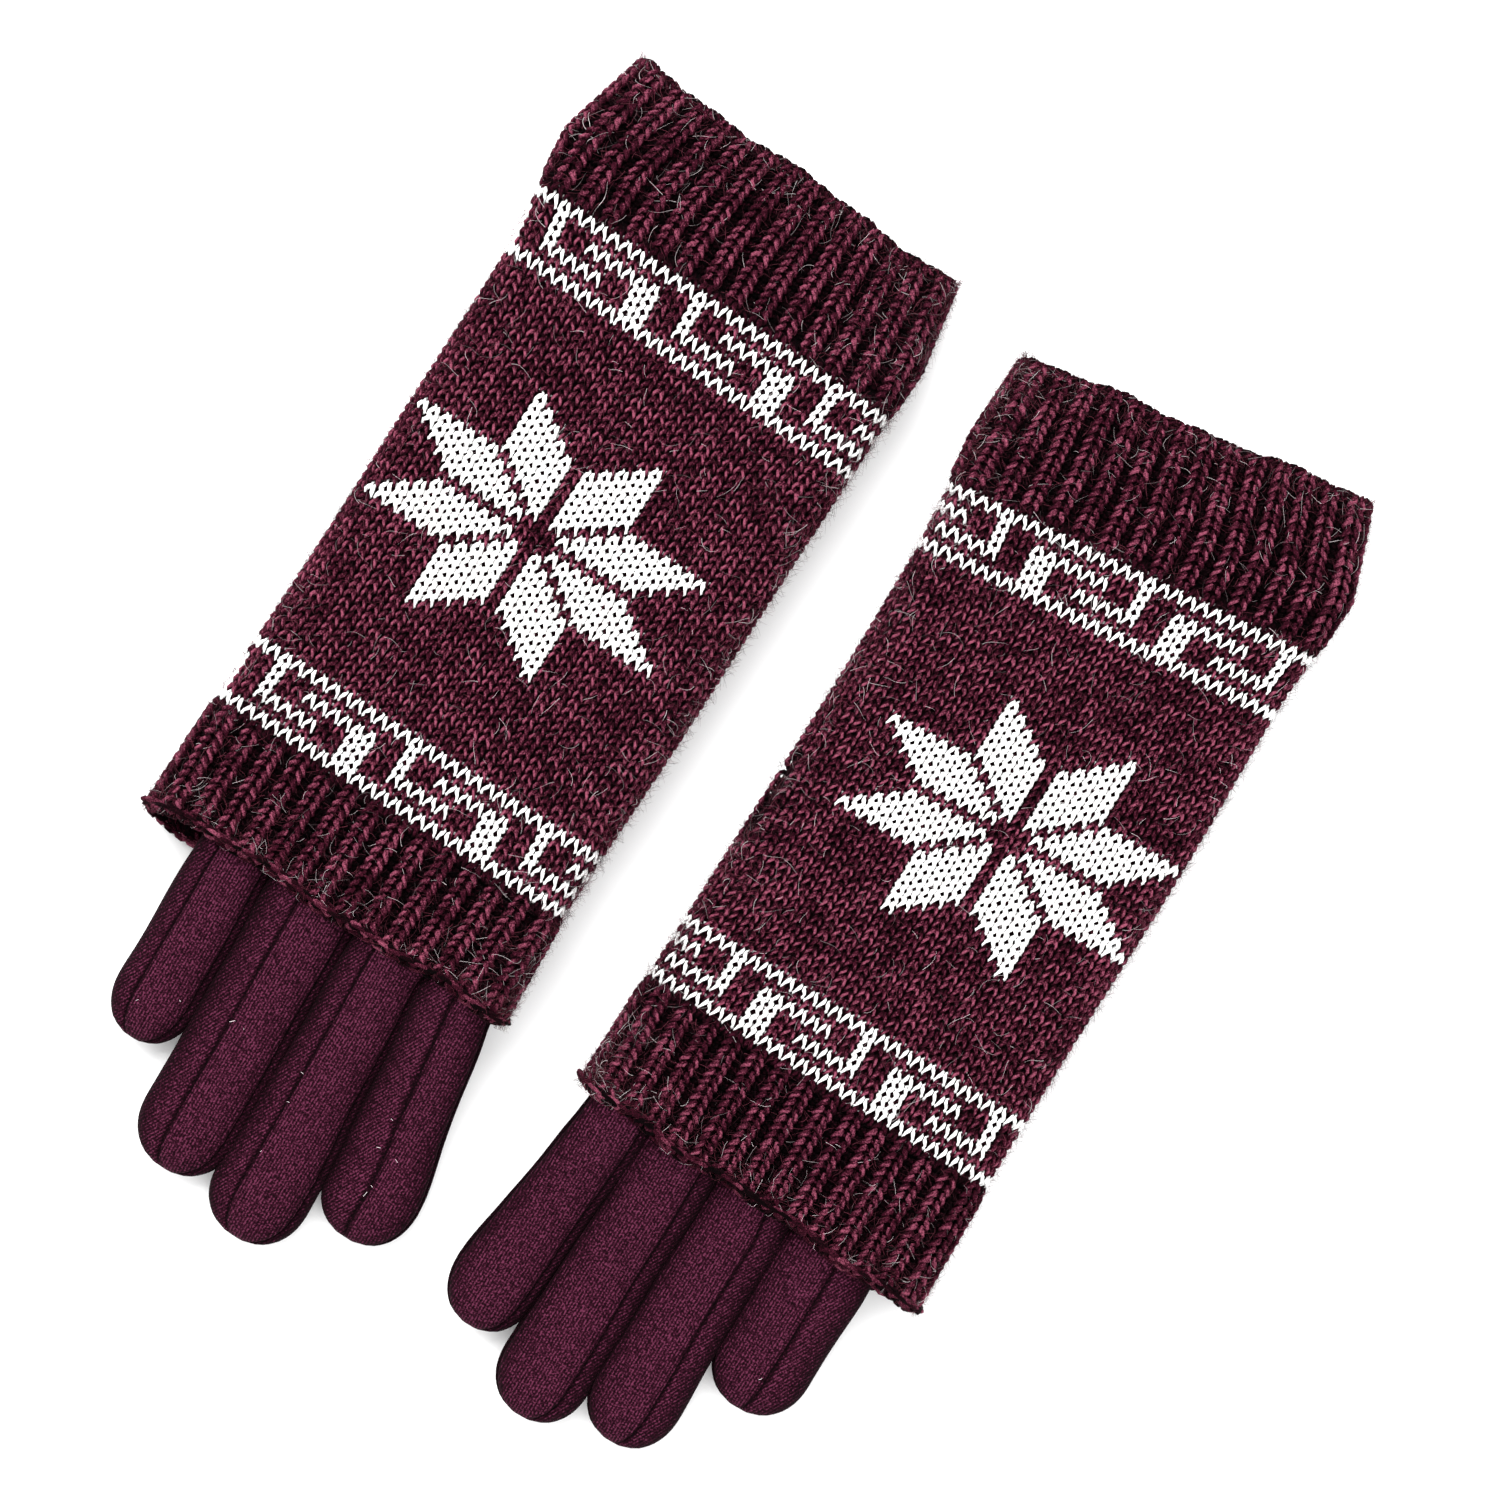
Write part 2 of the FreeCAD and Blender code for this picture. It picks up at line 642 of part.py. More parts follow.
        base_spaces = {side: self.strip_space(finger, "base", side) for side in sides}
        tip_spaces = {side: self.strip_space(finger, "tip", side) for side in sides}
        base_cutter = joined(self.label(f"{finger}_base_strips"), list(base_spaces.values()))
        tip_cutter = joined(self.label(f"{finger}_tip_strips"), list(tip_spaces.values()))
        self.node(f"{finger}_finger_base",
                  combine("Cut", self.label(f"{finger}_base"), base_shell, base_cutter))
        self.node(f"{finger}_fingertip", combine("Cut", self.label(f"{finger}_tip"), tip_shell, tip_cutter))
        self.node(f"{finger}_tip_fourchette",
                  combine("Common", self.label(f"{finger}_tip_side"), tip_shell, tip_cutter))
        strips = {}
        for side, space in base_spaces.items():
            side_name = "outer" if side > 0 else "inner"
            strips[side] = combine("Common", self.label(f"{finger}_base_{side_name}"), base_shell, space)
        return strips

    def make_fingers(self):
        """The four fingers, and the strips between their roots."""
        strips = {finger: self.make_finger(finger) for finger in FINGER_ORDER}
        for first, second in zip(FINGER_ORDER, FINGER_ORDER[1:]):
            pair = fuse(self.label(f"{first}_{second}_strips"), [strips[first][-1], strips[second][1]])
            self.node(f"fourchette_{first}_{second}", pair)

    def make(self):
        self.make_sleeve()
        self.make_hand()
        self.make_thumb()
        self.make_fingers()
        return self.nodes


def check(document, nodes):
    """Stops when a feature failed or a sub-part has no valid solid."""
    for item in document.Objects:
        if {"Invalid", "Error"} & set(item.State):
            raise RuntimeError(f"{item.Label} did not recompute: {item.State}")
    for node in nodes:
        shape = node.Shape
        if shape.isNull() or not shape.isValid() or not shape.Solids:
            raise RuntimeError(f"{node.Label} has no valid solid")


def report_box(nodes):
    """Prints the pair's box, to keep the origin at its bottom centre."""
    whole = FreeCAD.BoundBox()
    for node in nodes:
        whole.add(node.Shape.optimalBoundingBox(False))
    print(f"{len(nodes)} sub-parts")
    print(f"box x {whole.XMin:.2f} to {whole.XMax:.2f}")
    print(f"box y {whole.YMin:.2f} to {whole.YMax:.2f}")
    print(f"box z {whole.ZMin:.2f} to {whole.ZMax:.2f}")


os.makedirs("parts", exist_ok=True)
doc = FreeCAD.newDocument("layered_knit_gloves")
sheet = doc.addObject("Spreadsheet::Sheet", "Sizes")
next_row = write_sizes(sheet, COMMON_SIZES, 1)
for glove_name, glove_sizes in GLOVE_SIZES.items():
    named = {f"{glove_name}_{alias}": value for alias, value in glove_sizes.items()}
    next_row = write_sizes(sheet, named, next_row)
doc.recompute()

all_nodes = []
for glove_name in GLOVE_SIZES:
    all_nodes += Glove(glove_name).make()
doc.recompute()
check(doc, all_nodes)
for sub_part in all_nodes:
    sub_part.Shape.exportStep(f"parts/{sub_part.Label}.step")
report_box(all_nodes)
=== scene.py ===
import json
import math

import bpy
import numpy as np
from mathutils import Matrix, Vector


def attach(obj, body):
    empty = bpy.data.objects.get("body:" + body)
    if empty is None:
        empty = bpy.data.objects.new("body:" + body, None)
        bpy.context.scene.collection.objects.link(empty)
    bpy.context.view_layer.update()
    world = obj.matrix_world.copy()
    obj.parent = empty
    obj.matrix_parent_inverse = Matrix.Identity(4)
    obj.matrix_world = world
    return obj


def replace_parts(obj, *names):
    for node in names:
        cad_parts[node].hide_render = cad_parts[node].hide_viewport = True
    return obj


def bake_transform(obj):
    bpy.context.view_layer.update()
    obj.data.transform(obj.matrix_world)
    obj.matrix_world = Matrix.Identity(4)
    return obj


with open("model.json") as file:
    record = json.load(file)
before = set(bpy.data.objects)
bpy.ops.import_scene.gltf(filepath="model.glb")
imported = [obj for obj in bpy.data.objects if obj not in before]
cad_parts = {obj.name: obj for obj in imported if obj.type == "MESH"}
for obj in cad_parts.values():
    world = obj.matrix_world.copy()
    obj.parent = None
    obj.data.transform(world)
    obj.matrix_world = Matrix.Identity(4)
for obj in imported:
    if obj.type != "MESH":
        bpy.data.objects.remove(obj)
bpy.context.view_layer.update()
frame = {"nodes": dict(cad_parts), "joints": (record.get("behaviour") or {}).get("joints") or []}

# The pair of layered gloves: knitted sleeves, stitch by stitch, over sewn jersey gloves.
# Shapes are worked out in millimetres in each glove's own axes: x across the hand, y from the
# fingers to the wrist, z up. They turn into metres in the row frame when a mesh is made.

MM = 0.001

# Knitting
WALES = 62                          # stitches round a sleeve
PITCH = 209.0 / WALES               # width of one stitch before a zone stretches it
COURSES = {"wrist_rib": 16, "wrist_band": 7, "sleeve_body": 46, "hand_band": 7}
RIB_COURSE = 2.25                   # height of one course in the rib over the knuckles
FABRIC_DEPTH = 1.3                  # the fabric's middle lies this far under its outer face
PATTERN_START = {"right": -0.6, "left": -1.17}   # first column of the key pattern, in stitches
STAR_COURSE = 22                    # the star's middle course in the sleeve body
STAR_COLUMN = -1                    # and its middle column, beside the key pattern's first
STRETCH = {"wrist_edge": 0.0, "wrist_bulge": 0.0, "wrist_band": 0.035, "body_top": 0.0,
           "body_bottom": 0.0, "hand_band": 0.03, "hand_edge": 0.0}
BODY_STRETCH = -0.035               # the plain body is a little denser on the back of the hand
RIDGE_OUT = 1.0                     # how far the rib's ridges stand over its valleys, each way
RIDGE_WIDEN = 0.82                  # how much wider than its valleys a ridge is
RIB_START = 1.5                     # courses over which the ridges rise beside a band
UNEVEN = 0.18                       # how far stitches wander from their places
PEEK = {"right": 5.0, "left": 1.5}  # how far the palm layer shows at the little-finger corner

# One stitch
LOOP_POINTS = 15                    # rings along the yarn of a stitch
PLY_SIDES = 5
PLIES = 2                           # strands twisted into one yarn
PLY_TURNS = 2.5                     # twists in the yarn of one stitch
LOOP_LEAN = 0.235                   # how far the legs lean outwards
LOOP_REACH = 0.8                    # half the length of a stitch, in courses
LOOP_DEPTH = 0.55                   # its legs lie this far in front, its head this far behind
YARN_RADIUS = 0.6
WHITE_RADIUS = {"band": 0.46, "star": 0.54}     # the white yarn is thinner, most of all in bands
RIB_RADIUS = 0.7                    # and the relaxed ribs' yarn is fuller
CHAIN_RADIUS = 1.4 * YARN_RADIUS    # the bound-off chain over the knuckles
CORD_RADIUS = 1.2 * YARN_RADIUS     # the twisted cords at both edges
PLY_SHARE = 0.6                     # a ply's radius, as a share of its yarn's
PAINTED_SHADE_SHARE = 0.75                       # how much of a stitch's colour is painted shade, darker the deeper its yarn lies; the rest is its own tone

# Loose fibres: how many on each half of a sleeve, their sizes, and how far they stand off it
HALO = {"count": 9000, "length": (1.2, 4.8), "points": 4, "radius": 0.036,
        "rise": (0.2, 2.8), "curl": 0.4}
STRAYS = {"count": 1700, "length": (1.0, 6.5), "points": 7, "radius": 0.03,
          "rise": (0.1, 1.3), "curl": 0.3}
FIBRE_ROOT = 0.7                    # fibres start this far over the fabric's middle
LINT_SPECKS = 6                     # on each finger

# Jersey
FINGERS = ("index", "middle", "ring", "little")
WEBS = ("index_middle", "middle_ring", "ring_little")
SEAMS = {   # place of each finger's two top seams, from -1 at its little-finger side to 1
    "right": {"index": (-0.1, 0.97), "middle": (-0.45, 0.86),
              "ring": (-0.31, 0.82), "little": (-0.5, 0.82)},
    "left": {"index": (-0.8, 0.97), "middle": (-0.64, 0.97),
             "ring": (-0.43, 0.97), "little": (-0.22, 0.97)},
}
SEAM_DEPTH = 0.6                    # the skins turn inwards this far at a seam
SEAM_WIDTH = 0.7
CROWN = {"back": 0.5, "palm": 0.2, "side": 0.25}    # how far a panel swells between its seams
PLUMP = 0.9                         # the cloth stands this far out of its solid, sideways
BEND_REACH = 12.0                   # a finger bends over this far on each side of its knuckle
FULLNESS = 2.35                     # exponent of the fingers' rounded section
ROOT = 7.0                          # the fingers' skins start this far inside the hand
PLAIN_SHADE = 0.62                  # shade of jersey away from seams
SEAM_PAINTED_SHADE = 0.5                    # share of it that a seam loses, as painted shade in the seam's groove
SIDE_PAINTED_SHADE = 0.36                   # painted shade: how much darker the fingers' sides are
TIP_LENGTH = 14.0                   # a fingertip's round end, which has closer rows of points
ROW_STEP = 1.6                      # rows of points along the rest of a finger
TIP_GAP = 0.12                      # the skins end this far inside the fingertips
JERSEY_WALL = 1.4                   # from the hand's outer face to its inner one

# View
VIEW_ROLL = math.radians(31.45)     # the pair lies turned in the view
VIEW_MIDDLE = (5.8, 18.6)
VIEW_WIDTH = 354.0                  # what the view takes in at the gloves' height
VIEW_HEIGHT = 1600.0
VIEW_LEVEL = 15.0


# Materials

def new_material(name):
    material = bpy.data.materials.new(name)
    material.use_nodes = True
    tree = material.node_tree
    return material, tree, tree.nodes["Principled BSDF"]


def add_node(tree, kind, **values):
    made = tree.nodes.new(kind)
    for key, value in values.items():
        if key in made.inputs:
            made.inputs[key].default_value = value
        else:
            setattr(made, key, value)
    return made


def noise(tree, scale, detail=2.0):
    """Noise in the piece's own coordinates, in features per metre."""
    where = add_node(tree, "ShaderNodeTexCoord").outputs["Object"]
    made = add_node(tree, "ShaderNodeTexNoise", Scale=scale, Detail=detail)
    tree.links.new(where, made.inputs["Vector"])
    return made.outputs["Fac"]


def ramp(tree, value, stops):
    made = tree.nodes.new("ShaderNodeValToRGB")
    while len(made.color_ramp.elements) < len(stops):
        made.color_ramp.elements.new(0.5)
    for element, (place, colour) in zip(made.color_ramp.elements, stops):
        element.position = place
        element.color = (*colour, 1.0)
    tree.links.new(value, made.inputs["Fac"])
    return made.outputs["Color"]


def add_bump(tree, shader, height, distance, strength):
    made = add_node(tree, "ShaderNodeBump", Distance=distance, Strength=strength)
    tree.links.new(height, made.inputs["Height"])
    tree.links.new(made.outputs["Normal"], shader.inputs["Normal"])


def mixed(tree, first, second, share):
    """The mean of two values, weighed by share."""
    made = add_node(tree, "ShaderNodeMath", operation="MULTIPLY_ADD")
    tree.links.new(first, made.inputs[0])
    made.inputs[1].default_value = 1.0 - share
    scaled = add_node(tree, "ShaderNodeMath", operation="MULTIPLY")
    tree.links.new(second, scaled.inputs[0])
    scaled.inputs[1].default_value = share
    tree.links.new(scaled.outputs[0], made.inputs[2])
    return made.outputs[0]


def yarn_material(name, stops, sheen_tint):
    """Brushed wool-blend yarn, coloured by its 'shade' attribute with flecks of single fibres; for
    stitches that attribute holds painted shade where the yarn lies deeper, mixed with each stitch's own
    tone.
    """
    material, tree, shader = new_material(name)
    shade = add_node(tree, "ShaderNodeAttribute", attribute_name="shade").outputs["Fac"]
    fleck = noise(tree, 3200.0, 3.0)
    value = mixed(tree, shade, fleck, 0.35)
    tree.links.new(ramp(tree, value, stops), shader.inputs["Base Color"])
    add_bump(tree, shader, noise(tree, 4200.0, 2.0), 0.0004, 0.7)
    shader.inputs["Roughness"].default_value = 0.92
    shader.inputs["Specular IOR Level"].default_value = 0.03
    shader.inputs["Sheen Weight"].default_value = 0.01
    shader.inputs["Sheen Roughness"].default_value = 0.5
    shader.inputs["Sheen Tint"].default_value = (*sheen_tint, 1.0)
    return material


def jersey_material(name, angle):
    """Fine brushed jersey: wales along the finger, pilling noise and a soft nap, darkened by the painted
    shade its 'shade' attribute holds.
    """
    material, tree, shader = new_material(name)
    where = add_node(tree, "ShaderNodeTexCoord").outputs["Object"]
    turned = add_node(tree, "ShaderNodeMapping", Rotation=(0.0, 0.0, angle))
    tree.links.new(where, turned.inputs["Vector"])
    wales = add_node(tree, "ShaderNodeTexWave", Scale=420.0, Distortion=0.5)
    wales.inputs["Detail"].default_value = 1.0
    wales.inputs["Detail Scale"].default_value = 2.0
    tree.links.new(turned.outputs["Vector"], wales.inputs["Vector"])
    grain = noise(tree, 2100.0, 5.0)
    cloth = mixed(tree, wales.outputs["Fac"], grain, 0.86)
    # The 'shade' attribute holds painted shade at the fingers' seams and sides; the ramp's low stops turn
    # it near black.
    shade = add_node(tree, "ShaderNodeAttribute", attribute_name="shade").outputs["Fac"]
    value = mixed(tree, cloth, shade, 0.42)
    stops = [(0.36, (0.0008, 0.0001, 0.0004)), (0.48, (0.0052, 0.0006, 0.002)),
             (0.56, (0.021, 0.0027, 0.0085)), (0.63, (0.09, 0.018, 0.042))]
    tree.links.new(ramp(tree, value, stops), shader.inputs["Base Color"])
    add_bump(tree, shader, mixed(tree, wales.outputs["Fac"], noise(tree, 2600.0, 3.0), 0.7), 0.0003, 0.6)
    shader.inputs["Roughness"].default_value = 0.95
    shader.inputs["Specular IOR Level"].default_value = 0.04
    shader.inputs["Sheen Weight"].default_value = 0.02
    shader.inputs["Sheen Roughness"].default_value = 0.45
    shader.inputs["Sheen Tint"].default_value = (0.6, 0.28, 0.36, 1.0)
    return material


def fibre_material(name, dark, pale):
    """Loose fibres, each between two shades."""
    material, tree, shader = new_material(name)
    shade = add_node(tree, "ShaderNodeAttribute", attribute_name="shade").outputs["Fac"]
    tree.links.new(ramp(tree, shade, [(0.0, dark), (1.0, pale)]), shader.inputs["Base Color"])
    shader.inputs["Roughness"].default_value = 0.7
    shader.inputs["Specular IOR Level"].default_value = 0.1
    return material


MATERIALS = {
    # Burgundy yarn: its low stops are near black, painted shade for the deeper parts of the stitches.
    "burgundy_yarn": yarn_material(
        "burgundy_yarn",
        [(0.46, (0.0002, 0.00003, 0.0001)), (0.565, (0.0042, 0.0004, 0.0012)),
         (0.665, (0.032, 0.0032, 0.0094)), (0.78, (0.25, 0.06, 0.1))],
        (0.7, 0.4, 0.48)),
    # White yarn: its lowest stop is near black, painted shade for the deeper parts of the stitches.
    "white_yarn": yarn_material(
        "white_yarn",
        [(0.3, (0.03, 0.02, 0.023)), (0.4, (0.62, 0.6, 0.6)), (0.48, (0.94, 0.94, 0.93))],
        (1.0, 1.0, 1.0)),
    # The sleeve's inside layer, coloured near black: painted shade in the gaps between stitches and in the
    # mouths.
    "shadow_lining": yarn_material(
        "sleeve_inside",
        [(0.35, (0.001, 0.0002, 0.0004)), (0.5, (0.004, 0.0006, 0.0014)), (0.65, (0.012, 0.002, 0.0045))],
        (0.4, 0.2, 0.25)),
    "jersey": jersey_material("burgundy_jersey", 0.0),
    "strip_jersey": jersey_material("burgundy_jersey_strip", math.radians(28.0)),
    "halo": fibre_material("loose_fibres", (0.004, 0.0004, 0.0014), (0.18, 0.038, 0.06)),
    "strays": fibre_material("stray_fibres", (0.02, 0.003, 0.007), (0.95, 0.85, 0.86)),
    "thread": yarn_material(
        "sewing_thread",
        [(0.3, (0.05, 0.01, 0.02)), (0.5, (0.10, 0.025, 0.045)), (0.7, (0.15, 0.04, 0.07))],
        (0.6, 0.4, 0.45)),
}


# Meshes

def smooth_mesh(name, points, faces, material, shade=None):
    """A smooth mesh object; faces is an array of corners, or a list of such arrays."""
    groups = [np.asarray(group) for group in (faces if isinstance(faces, list) else [faces])]
    mesh = bpy.data.meshes.new(name)
    mesh.vertices.add(len(points))
    mesh.vertices.foreach_set("co", np.asarray(points, np.float32).ravel())
    sizes = np.concatenate([np.full(len(group), group.shape[1]) for group in groups])
    corners = np.concatenate([group.ravel() for group in groups])
    mesh.loops.add(len(corners))
    mesh.loops.foreach_set("vertex_index", corners.astype(np.int32))
    mesh.polygons.add(len(sizes))
    starts = np.concatenate([[0], np.cumsum(sizes)[:-1]])
    mesh.polygons.foreach_set("loop_start", starts.astype(np.int32))
    mesh.update(calc_edges=True)
    mesh.polygons.foreach_set("use_smooth", np.ones(len(sizes), bool))
    if shade is not None:
        made = mesh.attributes.new("shade", "FLOAT", "POINT")
        made.data.foreach_set("value", np.asarray(shade, np.float32))
    mesh.materials.append(MATERIALS[material])
    piece = bpy.data.objects.new(name, mesh)
    bpy.context.scene.collection.objects.link(piece)
    return piece


def strip_faces(rows, columns, closed):
    """Quads between neighbouring rows of points."""
    row = np.arange(rows - 1)[:, None]
    column = np.arange(columns if closed else columns - 1)[None, :]
    after = (column + 1) % columns
    corner = row * columns + column
    beside = row * columns + after
    return np.stack([corner, beside, beside + columns, corner + columns], axis=-1).reshape(-1, 4)


def path_frame(path, up):
    """The directions beside and over each point of each path, square to the path."""
    along = np.gradient(path, axis=1)
    along /= np.linalg.norm(along, axis=-1, keepdims=True) + 1e-9
    beside = np.cross(along, np.asarray(up))
    beside /= np.linalg.norm(beside, axis=-1, keepdims=True) + 1e-9
    return beside, np.cross(beside, along)


def twisted(path, radius, turns, up=(0.0, 0.0, 1.0)):
    """The plies of each yarn: paths that wind round it, one set after the other."""
    beside, over = path_frame(path, up)
    points = path.shape[1]
    offset = radius[..., None] * (1 - PLY_SHARE)
    found = []
    for ply in range(PLIES):
        phase = 2 * math.pi * (turns * np.linspace(0, 1, points) + ply / PLIES)
        found.append(path + offset * (np.cos(phase)[:, None] * beside + np.sin(phase)[:, None] * over))
    return np.concatenate(found), np.concatenate([radius * PLY_SHARE] * PLIES)


def tube_rings(path, radius, sides, up=(0.0, 0.0, 1.0)):
    """Rings of points round each path: path is (tubes, points, 3), radius (tubes, points)."""
    beside, over = path_frame(path, up)
    angle = np.arange(sides) * 2 * math.pi / sides
    spread = np.cos(angle)[:, None] * beside[:, :, None, :] + np.sin(angle)[:, None] * over[:, :, None, :]
    return path[:, :, None, :] + radius[:, :, None, None] * spread


def tubes(name, rings, material, shades):
    """One mesh of many tubes, from rings already in place; shades is one number a tube or a point."""
    count, points, sides, _ = rings.shape
    faces = strip_faces(points, sides, closed=True)
    starts = np.arange(count)[:, None, None] * points * sides
    if np.ndim(shades) == 1:
        shades = np.repeat(shades, points * sides)
    faces = (faces[None] + starts).reshape(-1, 4)
    return smooth_mesh(name, rings.reshape(-1, 3), faces, material, np.ravel(shades))


# The sleeve's shape, measured on the CAD nodes

def joint(name):
    return next(j for j in frame["joints"] if j["name"] == name)


def measure_section(points):
    """Middle, half width, thickness and roll of an outline across the glove."""
    flat = points[:, [0, 2]]
    mean = flat.mean(axis=0)
    _, axes = np.linalg.eigh(np.cov((flat - mean).T))
    wide = axes[:, 1] * np.sign(axes[0, 1])
    thick = np.array([-wide[1], wide[0]])
    across, up = (flat - mean) @ wide, (flat - mean) @ thick
    middle = mean + wide * (across.max() + across.min()) / 2 + thick * (up.max() + up.min()) / 2
    return {
        "middle_x": middle[0], "middle_z": middle[1], "half_width": np.ptp(across) / 2,
        "thickness": np.ptp(up), "roll": math.atan2(wide[1], wide[0]),
    }


class Glove:
    def __init__(self, name, side):
        self.name = name
        self.side = side
        self.random = np.random.default_rng(11 if side > 0 else 12)
        along = joint(self.label("sleeve_slide"))["axis"]
        self.across = np.array([along[1], -along[0], 0.0])
        self.along = np.array([along[0], along[1], 0.0])
        self.measure_sleeve()

    def label(self, piece):
        return f"{self.name}_{piece}"

    def to_own(self, points):
        """Row frame in metres to the glove's own axes in millimetres."""
        points = np.asarray(points) / MM
        return np.stack([points @ self.across, points @ self.along, points[..., 2]], axis=-1)

    def to_row(self, points):
        up = np.array([0.0, 0.0, 1.0])
        x, y, z = (points[..., k:k + 1] for k in range(3))
        return (x * self.across + y * self.along + z * up) * MM

    def node_points(self, piece):
        mesh = frame["nodes"][self.label(piece)].data
        points = np.empty(len(mesh.vertices) * 3)
        mesh.vertices.foreach_get("co", points)
        return self.to_own(points.reshape(-1, 3))

    def end_section(self, piece, towards_wrist):
        """The outline at one end of a sleeve node, from the faces that close that end."""
        mesh = frame["nodes"][self.label(piece)].data
        normals = np.empty(len(mesh.polygons) * 3)
        mesh.polygons.foreach_get("normal", normals)
        facing = normals.reshape(-1, 3) @ self.along * (1 if towards_wrist else -1)
        corners = {v for face in np.nonzero(facing > 0.9)[0] for v in mesh.polygons[face].vertices}
        points = self.node_points(piece)[sorted(corners)]
        section = measure_section(points)
        slant, _ = np.polyfit(points[:, 0], points[:, 1], 1)
        middle_y = np.mean(points[:, 1] - slant * (points[:, 0] - section["middle_x"]))
        return {**section, "slant": slant, "place": middle_y}

    def slice(self, pieces, place):
        """Where a plane across the glove cuts the surface of some nodes."""
        found = []
        for piece in pieces:
            mesh = frame["nodes"][self.label(piece)].data
            edges = np.empty(len(mesh.edges) * 2, int)
            mesh.edges.foreach_get("vertices", edges)
            points = self.node_points(piece)
            a, b = points[edges.reshape(-1, 2)[:, 0]], points[edges.reshape(-1, 2)[:, 1]]
            cut = (a[:, 1] - place) * (b[:, 1] - place) < 0
            share = (place - a[cut, 1]) / (b[cut, 1] - a[cut, 1])
            found.append(a[cut] + share[:, None] * (b[cut] - a[cut]))
        return np.concatenate(found)

    # The knitted sleeve

    def measure_sleeve(self):
        ends = [
            ("hand_edge", self.end_section("hand_rib", False)),
            ("hand_band", self.end_section("hand_band", False)),
            ("body_bottom", self.end_section("hand_band", True)),
            ("body_top", self.end_section("wrist_band", False)),
            ("wrist_band", self.end_section("wrist_band", True)),
            ("wrist_bulge", None),
            ("wrist_edge", self.end_section("wrist_rib", True)),
        ]
        at = dict(ends)
        bulge = {k: at["wrist_band"][k] * 0.6 + at["wrist_edge"][k] * 0.4 for k in at["wrist_edge"]}
        rib = self.node_points("wrist_rib")
        bulge["half_width"] = np.ptp(rib[:, 0]) / 2
        bulge["middle_x"] = (rib[:, 0].max() + rib[:, 0].min()) / 2
        bulge["thickness"] = at["wrist_band"]["thickness"]
        at["wrist_bulge"] = bulge
        order = [name for name, _ in ends]
        self.stations = {k: np.array([at[name][k] for name in order]) for k in bulge}
        self.stations["stretch"] = np.array([STRETCH[name] for name in order])
        self.edges = {name: at[name]["place"] for name in order}

    def sleeve_point(self, wale, place, out):
        """A point of the sleeve, by stitch round it, place along it and height over its middle."""
        s = {k: np.interp(place, self.stations["place"], v) for k, v in self.stations.items()}
        body = np.clip((place - self.edges["body_bottom"]) / 12, 0, 1)
        body = body * np.clip((self.edges["body_top"] - place) / 12, 0, 1)
        stretch = s["stretch"] + body * BODY_STRETCH
        share = (wale + PATTERN_START[self.name]) / WALES
        share = share - np.round(share)
        turn = 2 * math.pi * share
        share = share + stretch * np.sin(turn) / (2 * math.pi)
        curve = s["thickness"] / 2 - FABRIC_DEPTH
        straight = s["half_width"] - s["thickness"] / 2
        length = np.abs(share) * (4 * straight + 2 * math.pi * curve)
        angle = np.clip((length - straight) / curve, 0, math.pi)
        over = length - straight - math.pi * curve
        reach = np.where(length < straight, length, np.where(over > 0, straight - over, straight))
        ripple = 0.28 * np.sin(3 * turn + place * 0.045 + self.side)
        ripple = ripple + 0.22 * np.sin(5 * turn - place * 0.07)
        height = curve + out + ripple
        across = self.side * np.sign(share) * (reach + height * np.sin(angle))
        up = height * np.cos(angle)
        peek = self.edge_wave(turn, place)
        x = s["middle_x"] + np.cos(s["roll"]) * across - np.sin(s["roll"]) * up
        y = place + s["slant"] * across + peek
        z = s["middle_z"] + np.sin(s["roll"]) * across + np.cos(s["roll"]) * up
        return np.stack([x, y, np.maximum(z, 0.25)], axis=-1)

    def edge_wave(self, turn, place):
        """The edges wave a little, and one layer peeps out at the little-finger corner."""
        hand = np.clip(1 - (place - self.edges["hand_edge"]) / 22, 0, 1) ** 2
        wrist = np.clip(1 - (self.edges["wrist_edge"] - place) / 22, 0, 1) ** 2
        wave = 0.55 * np.sin(4 * turn + self.side) + 0.4 * np.sin(9 * turn + 2)
        corner = np.exp(-((turn + 0.62 * math.pi) / 0.42) ** 2)
        return wave * (wrist - hand) - PEEK[self.name] * corner * hand

    def wander(self, x, y):
        """Small shifts that make the stitches uneven, the same for neighbouring yarn."""
        waves = np.sin(1.31 * x + 0.83 * y) + np.sin(2.17 * x - 1.37 * y + 1.0)
        return (waves + np.sin(0.41 * x + 2.6 * y)) / 3

    def loops(self, wale, place, height, front, band, radius):
        """Rings round the yarn of many stitches, one for each wale and place, and their shades: painted
        shade where the yarn lies deeper, mixed with each stitch's own tone.

        A rib is told where the band beside it starts, because its ridges rise from there.
        """
        t = np.linspace(-math.pi, math.pi, LOOP_POINTS)[None, :]
        front = np.broadcast_to(front, wale.shape)[:, None]
        x = (wale[:, None] + t / (2 * math.pi) + LOOP_LEAN * np.sin(2 * t)) * np.ones_like(front)
        y = place[:, None] - height * LOOP_REACH * np.cos(t)
        z = -front * LOOP_DEPTH * np.cos(2 * t) * np.ones_like(x)
        if band is not None:
            rise = np.clip(np.abs(y - band) / (RIB_START * height), 0, 1)
            z = z + rise * RIDGE_OUT * np.cos(math.pi * x)
            x = x + rise * RIDGE_WIDEN / math.pi * np.sin(math.pi * x)
        x = x * PITCH
        drift = self.wander(x, y)
        path = np.stack([x + UNEVEN * drift, y + UNEVEN * self.wander(y, x), z + 0.1 * drift], axis=-1)
        girth = radius * (0.84 + 0.26 * np.sin(t) ** 2) * (1 + 0.1 * self.wander(y * 1.7, x * 0.6))
        rings = tube_rings(*twisted(path, girth, PLY_TURNS), PLY_SIDES)
        reach = LOOP_DEPTH + radius + (0.0 if band is None else RIDGE_OUT)
